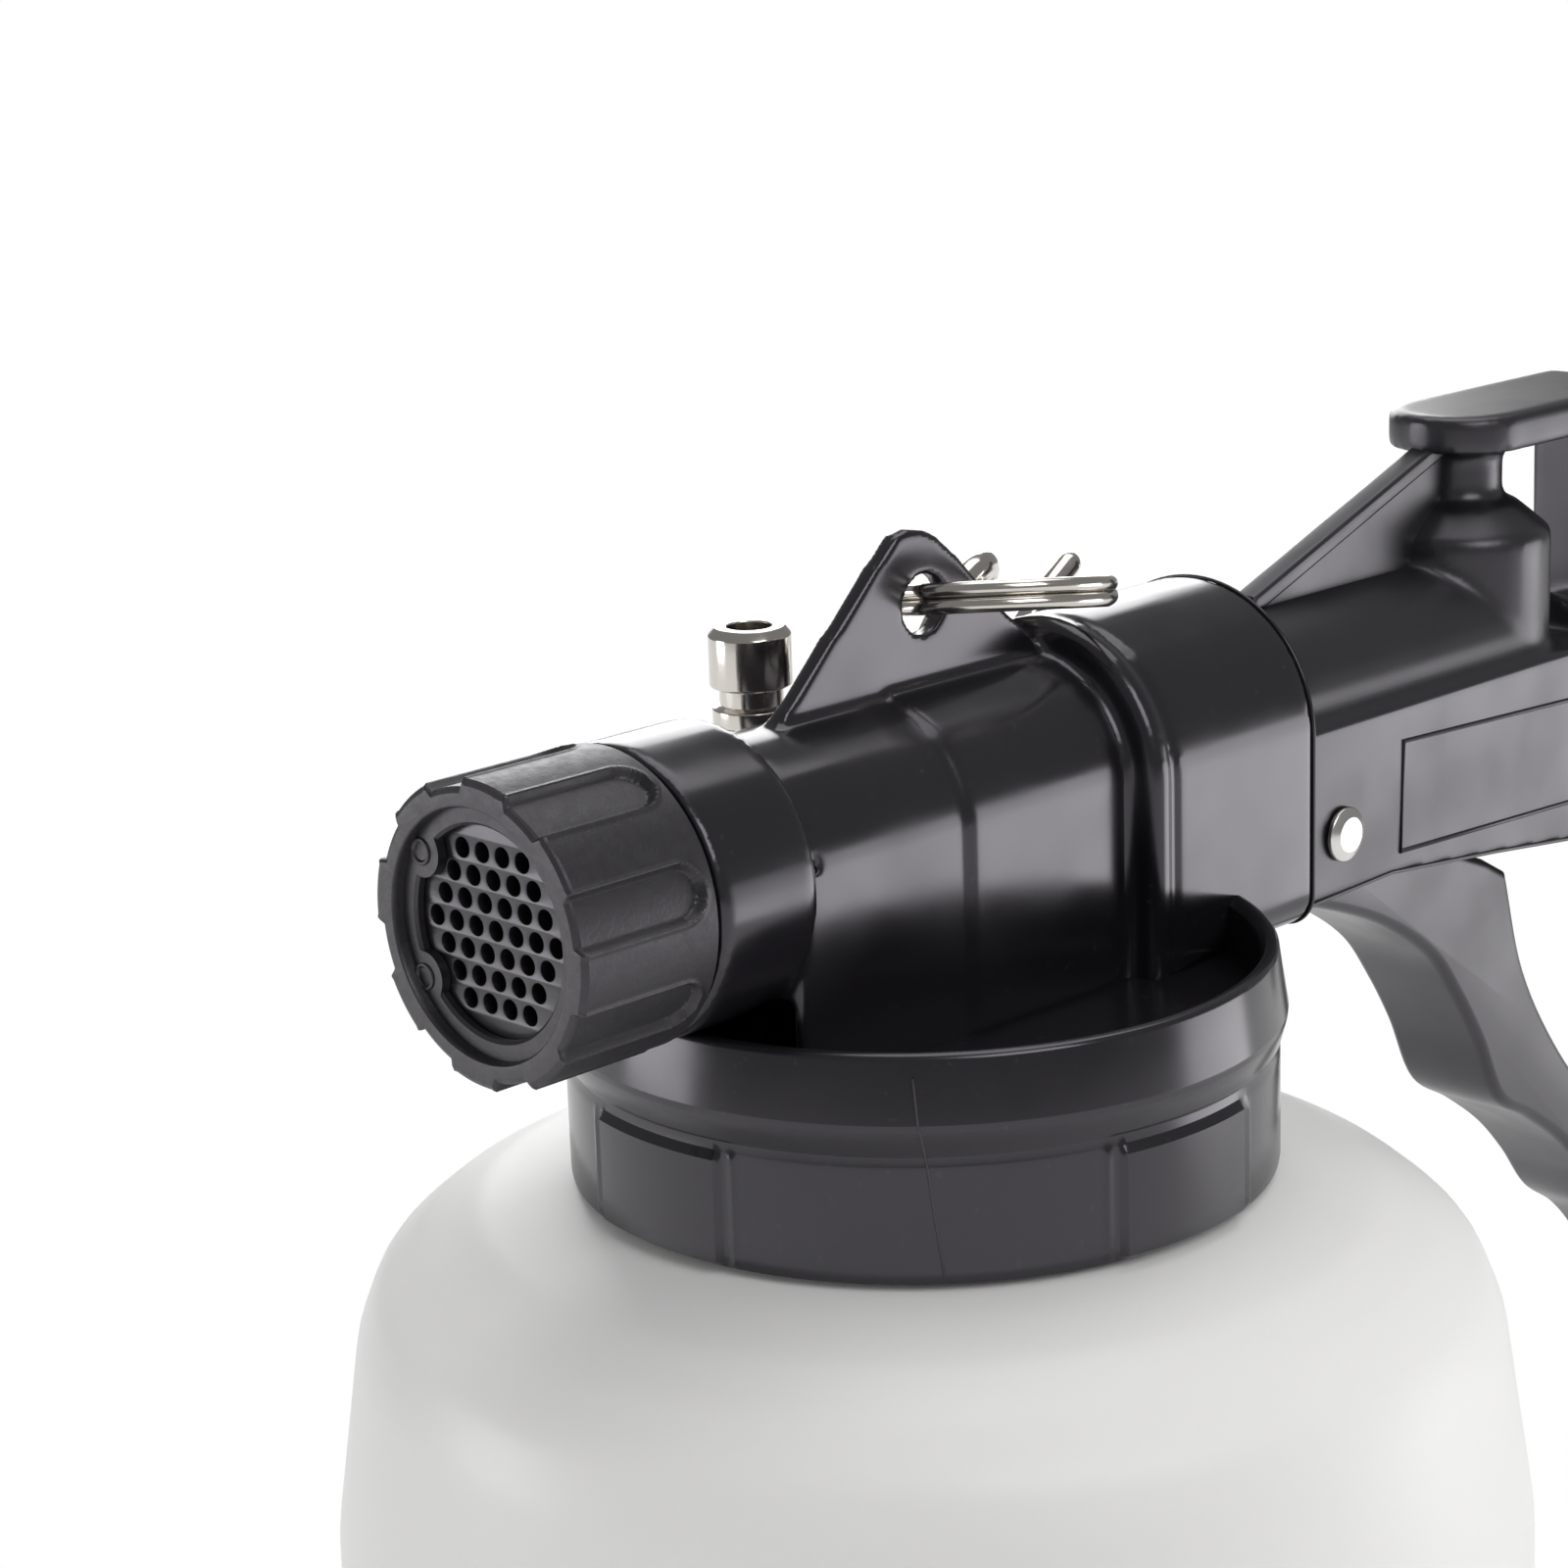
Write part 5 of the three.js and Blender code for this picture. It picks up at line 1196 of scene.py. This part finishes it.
# ---- split ring --------------------------------------------------------------------------------
# Two turns of nickel-plated wire through the hole in the fin; the ends lie beside each other.
RING_CENTRE = Vector((-11.8, 1.1, 34))
RING_AXIS = Vector((-0.14, -0.16, 0.977)).normalized()
RING_RADIUS = 11.6
RING_WIRE = 0.8
RING_STEPS = 160  # in a turn
RING_ENDS_SHORT = 8
RING_START = math.radians(150)
RING_CROSS_FROM = 0.9  # turns from the start, where one turn begins to step over to the other
RING_CROSS_TURNS = 0.2
NICKEL = (0.62, 0.59, 0.55)
NICKEL_TARNISH = (0.3, 0.28, 0.25)
ring_u = Vector((0, 1, 0)).cross(RING_AXIS).normalized()
ring_v = RING_AXIS.cross(ring_u)


def wire(line, radius, sides):
    """A round wire with its ends domed."""
    last = len(line) - 1
    dome = [(radius * math.sin(math.radians(a)), radius * math.cos(math.radians(a))) for a in (15, 40, 65)]
    rings = [(wide, 0, -high) for wide, high in dome]
    rings += [(radius, i, 0) for i in range(last + 1)]
    rings += [(wide, last, high) for wide, high in reversed(dome)]
    return sweep(line, rings, sides)


ring_line = []
for i in range(RING_STEPS * 2 - RING_ENDS_SHORT):
    turn = 2 * math.pi * i / RING_STEPS + RING_START
    crossed = min(max(i / RING_STEPS - RING_CROSS_FROM, 0) / RING_CROSS_TURNS, 1)
    lift = RING_WIRE * (2 * crossed - 1)
    spoke = math.cos(turn) * ring_u + math.sin(turn) * ring_v
    ring_line.append(RING_CENTRE + RING_RADIUS * spoke + RING_AXIS * lift)
nickel = metal("nickel_plate", NICKEL, roughness=0.16, spread=0.05, grain=2400, depth=0.000006, wave=260,
               dust=0.15, dust_colour=NICKEL_TARNISH)
split_ring = smoothed(mesh_object("double_ring", wire(ring_line, RING_WIRE, 20)))
split_ring.data.materials.append(nickel)
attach(split_ring, "ring")
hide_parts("split_ring")

# ---- hanging hook ------------------------------------------------------------------------------
# A bent nickel-plated wire: a nearly closed eye round the ring, a long shank, and an open crook.
HOOK_WIRE = 1.5
HOOK_EYE = 5.6
HOOK_ROUND_RING = math.radians(241.9)
HOOK_HEADING = math.radians(235.1)
HOOK_FALL = math.radians(44)
HOOK_ROLL = math.radians(132.2)
HOOK_EYE_FROM = math.radians(-14)
HOOK_EYE_TURN = math.radians(-26.33)
HOOK_EYE_POINTS = 13
HOOK_LINE = [  # across and down from the eye's foot
    (0, 0.6), (0.4, 3.9), (1.5, 9.9), (3.7, 16), (7, 22.6), (10.3, 28.7), (11.4, 32.5), (10.3, 36.4),
    (7, 40.2), (2.6, 42.4), (-1.8, 42.7), (-6.8, 41.6), (-11.2, 38.8), (-15.6, 34.7), (-20, 30.3),
    (-24.4, 27.6), (-28.8, 26.4), (-33.5, 26.4),
]
hook_down = Vector((
    math.cos(HOOK_FALL) * math.cos(HOOK_HEADING), math.cos(HOOK_FALL) * math.sin(HOOK_HEADING),
    -math.sin(HOOK_FALL)))
level_side = hook_down.cross(Vector((0, 0, 1))).normalized()
hook_side = level_side * math.cos(HOOK_ROLL) + hook_down.cross(level_side) * math.sin(HOOK_ROLL)
hook_spoke = math.cos(HOOK_ROUND_RING) * ring_u + math.sin(HOOK_ROUND_RING) * ring_v
hook_place = RING_CENTRE + RING_RADIUS * hook_spoke
eye_centre = hook_place + hook_down * (HOOK_EYE - HOOK_WIRE - 2 * RING_WIRE - 0.3)
eye_arc = []
for i in range(HOOK_EYE_POINTS):
    angle = HOOK_EYE_FROM + HOOK_EYE_TURN * i
    eye_arc.append((HOOK_EYE * math.cos(angle), HOOK_EYE * math.sin(angle) - HOOK_EYE))
hook_points = [eye_centre + hook_down * (down + HOOK_EYE) + hook_side * across
               for across, down in eye_arc + HOOK_LINE]
hook = smoothed(mesh_object("wire_hook", wire(spline(hook_points, 8), HOOK_WIRE, 24)))
hook.data.materials.append(nickel)
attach(hook, "hook")
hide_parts("hang_hook")

# ---- wire clip ---------------------------------------------------------------------------------
# A springy bent wire that hangs from two holes at the end of the grip; it swings forward to hold
# the trigger pulled.
CLIP_PIVOT = (-207.5, -44.5)
CLIP_WIRE = 1.1
CLIP_LENGTH = 51
CLIP_HALF_LINE = [  # across and down
    (BODY_HALF - 3, 0), (BODY_HALF + 0.6, 0), (14.1, 0.8), (14.2, 2.6), (14, 7), (13.6, 12), (12.7, 18),
    (11.6, 24), (9.2, 29), (8.4, 34), (7.6, 39), (7, 42), (6.2, 46.4), (3.6, 49.8),
]
clip_line = [(CLIP_PIVOT[0], -half, CLIP_PIVOT[1] - drop) for half, drop in CLIP_HALF_LINE]
clip_line.append((CLIP_PIVOT[0], 0, CLIP_PIVOT[1] - CLIP_LENGTH))
clip_line += [(CLIP_PIVOT[0], half, CLIP_PIVOT[1] - drop) for half, drop in reversed(CLIP_HALF_LINE)]
clip = smoothed(mesh_object("wire_clip", wire(spline(clip_line, 6), CLIP_WIRE, 20)))
clip.data.materials.append(nickel)
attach(clip, "clip")
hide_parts("trigger_clip")

# ---- hose fitting ------------------------------------------------------------------------------
# A turned nickel-plated union screwed down beside the barrel: a small hexagon and a stepped
# nipple with a groove, on a black seal. The suction hose goes on top.
SMALL_HEX_RADIUS = 6.93
FITTING_PROFILE = [
    (1.1, -16), (1.7, -16, 0.2), (1.7, -9.2), (3.3, -8), (3.3, 6.2), (6.9, 6.2, 0.3), (6.9, 15.5, 0.4),
    (3.9, 15.7), (3.9, 18.6, 0.2), (3.2, 18.7), (3.2, 19.5), (4.2, 19.8, 0.2), (4.2, 21.6, 0.2), (3.4, 22),
    (3.4, 23.6), (4.4, 24, 0.3), (4.4, 29.4, 0.4), (3.7, 30.3, 0.2), (2.4, 30.3, 0.2), (2.4, 24), (1.1, 23),
]


def small_hex(angle, radius, height):
    """The flats of the hose fitting's hexagon."""
    if radius < 6.5 or not 6 < height < 15.6:
        return 0
    near = angle % (math.pi / 3)
    flat = SMALL_HEX_RADIUS * math.cos(math.pi / 6) / math.cos(math.pi / 6 - near)
    return min(radius, flat) - radius


fitting_shape = spun(rounded(FITTING_PROFILE), 120, swell=small_hex, closed=True)
fitting = smoothed(mesh_object("hose_union", moved(fitting_shape, HOSE_X, HOSE_Y)))
fitting.data.materials.append(nickel)
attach(fitting, "head")
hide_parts("hose_fitting")

# ---- seals and inner pieces --------------------------------------------------------------------
# Rubber seals, the jet, the valve and the pad behind the grille keep their own shapes. They show
# only at joints, through holes or with the head lifted off.
RUBBER = (0.012, 0.012, 0.012)
FELT = (0.03, 0.03, 0.03)
FELT_DUST = (0.09, 0.09, 0.085)
rubber = plastic("black_rubber", RUBBER, roughness=0.62, spread=0.08, grain=1600, depth=0.00002, dust=0.08)
felt = plastic("grey_felt", FELT, roughness=0.95, spread=0.04, grain=900, depth=0.00025, wave=700, dust=0.6,
               dust_colour=FELT_DUST)
INNER_FINISHES = {
    "neck_seal": rubber, "nozzle_oring": rubber, "fitting_seal": rubber, "body_oring": rubber,
    "inlet_seal": rubber, "stem_oring": rubber, "air_nozzle": brass, "valve_seat": brass,
    "mixing_tube": milky, "silencer_pad": felt, "inlet_screen": steel, "valve_stem": steel,
    "valve_spring": steel,
}
for node_name, surface in INNER_FINISHES.items():
    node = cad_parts[node_name]
    node.data.materials.clear()
    node.data.materials.append(surface)
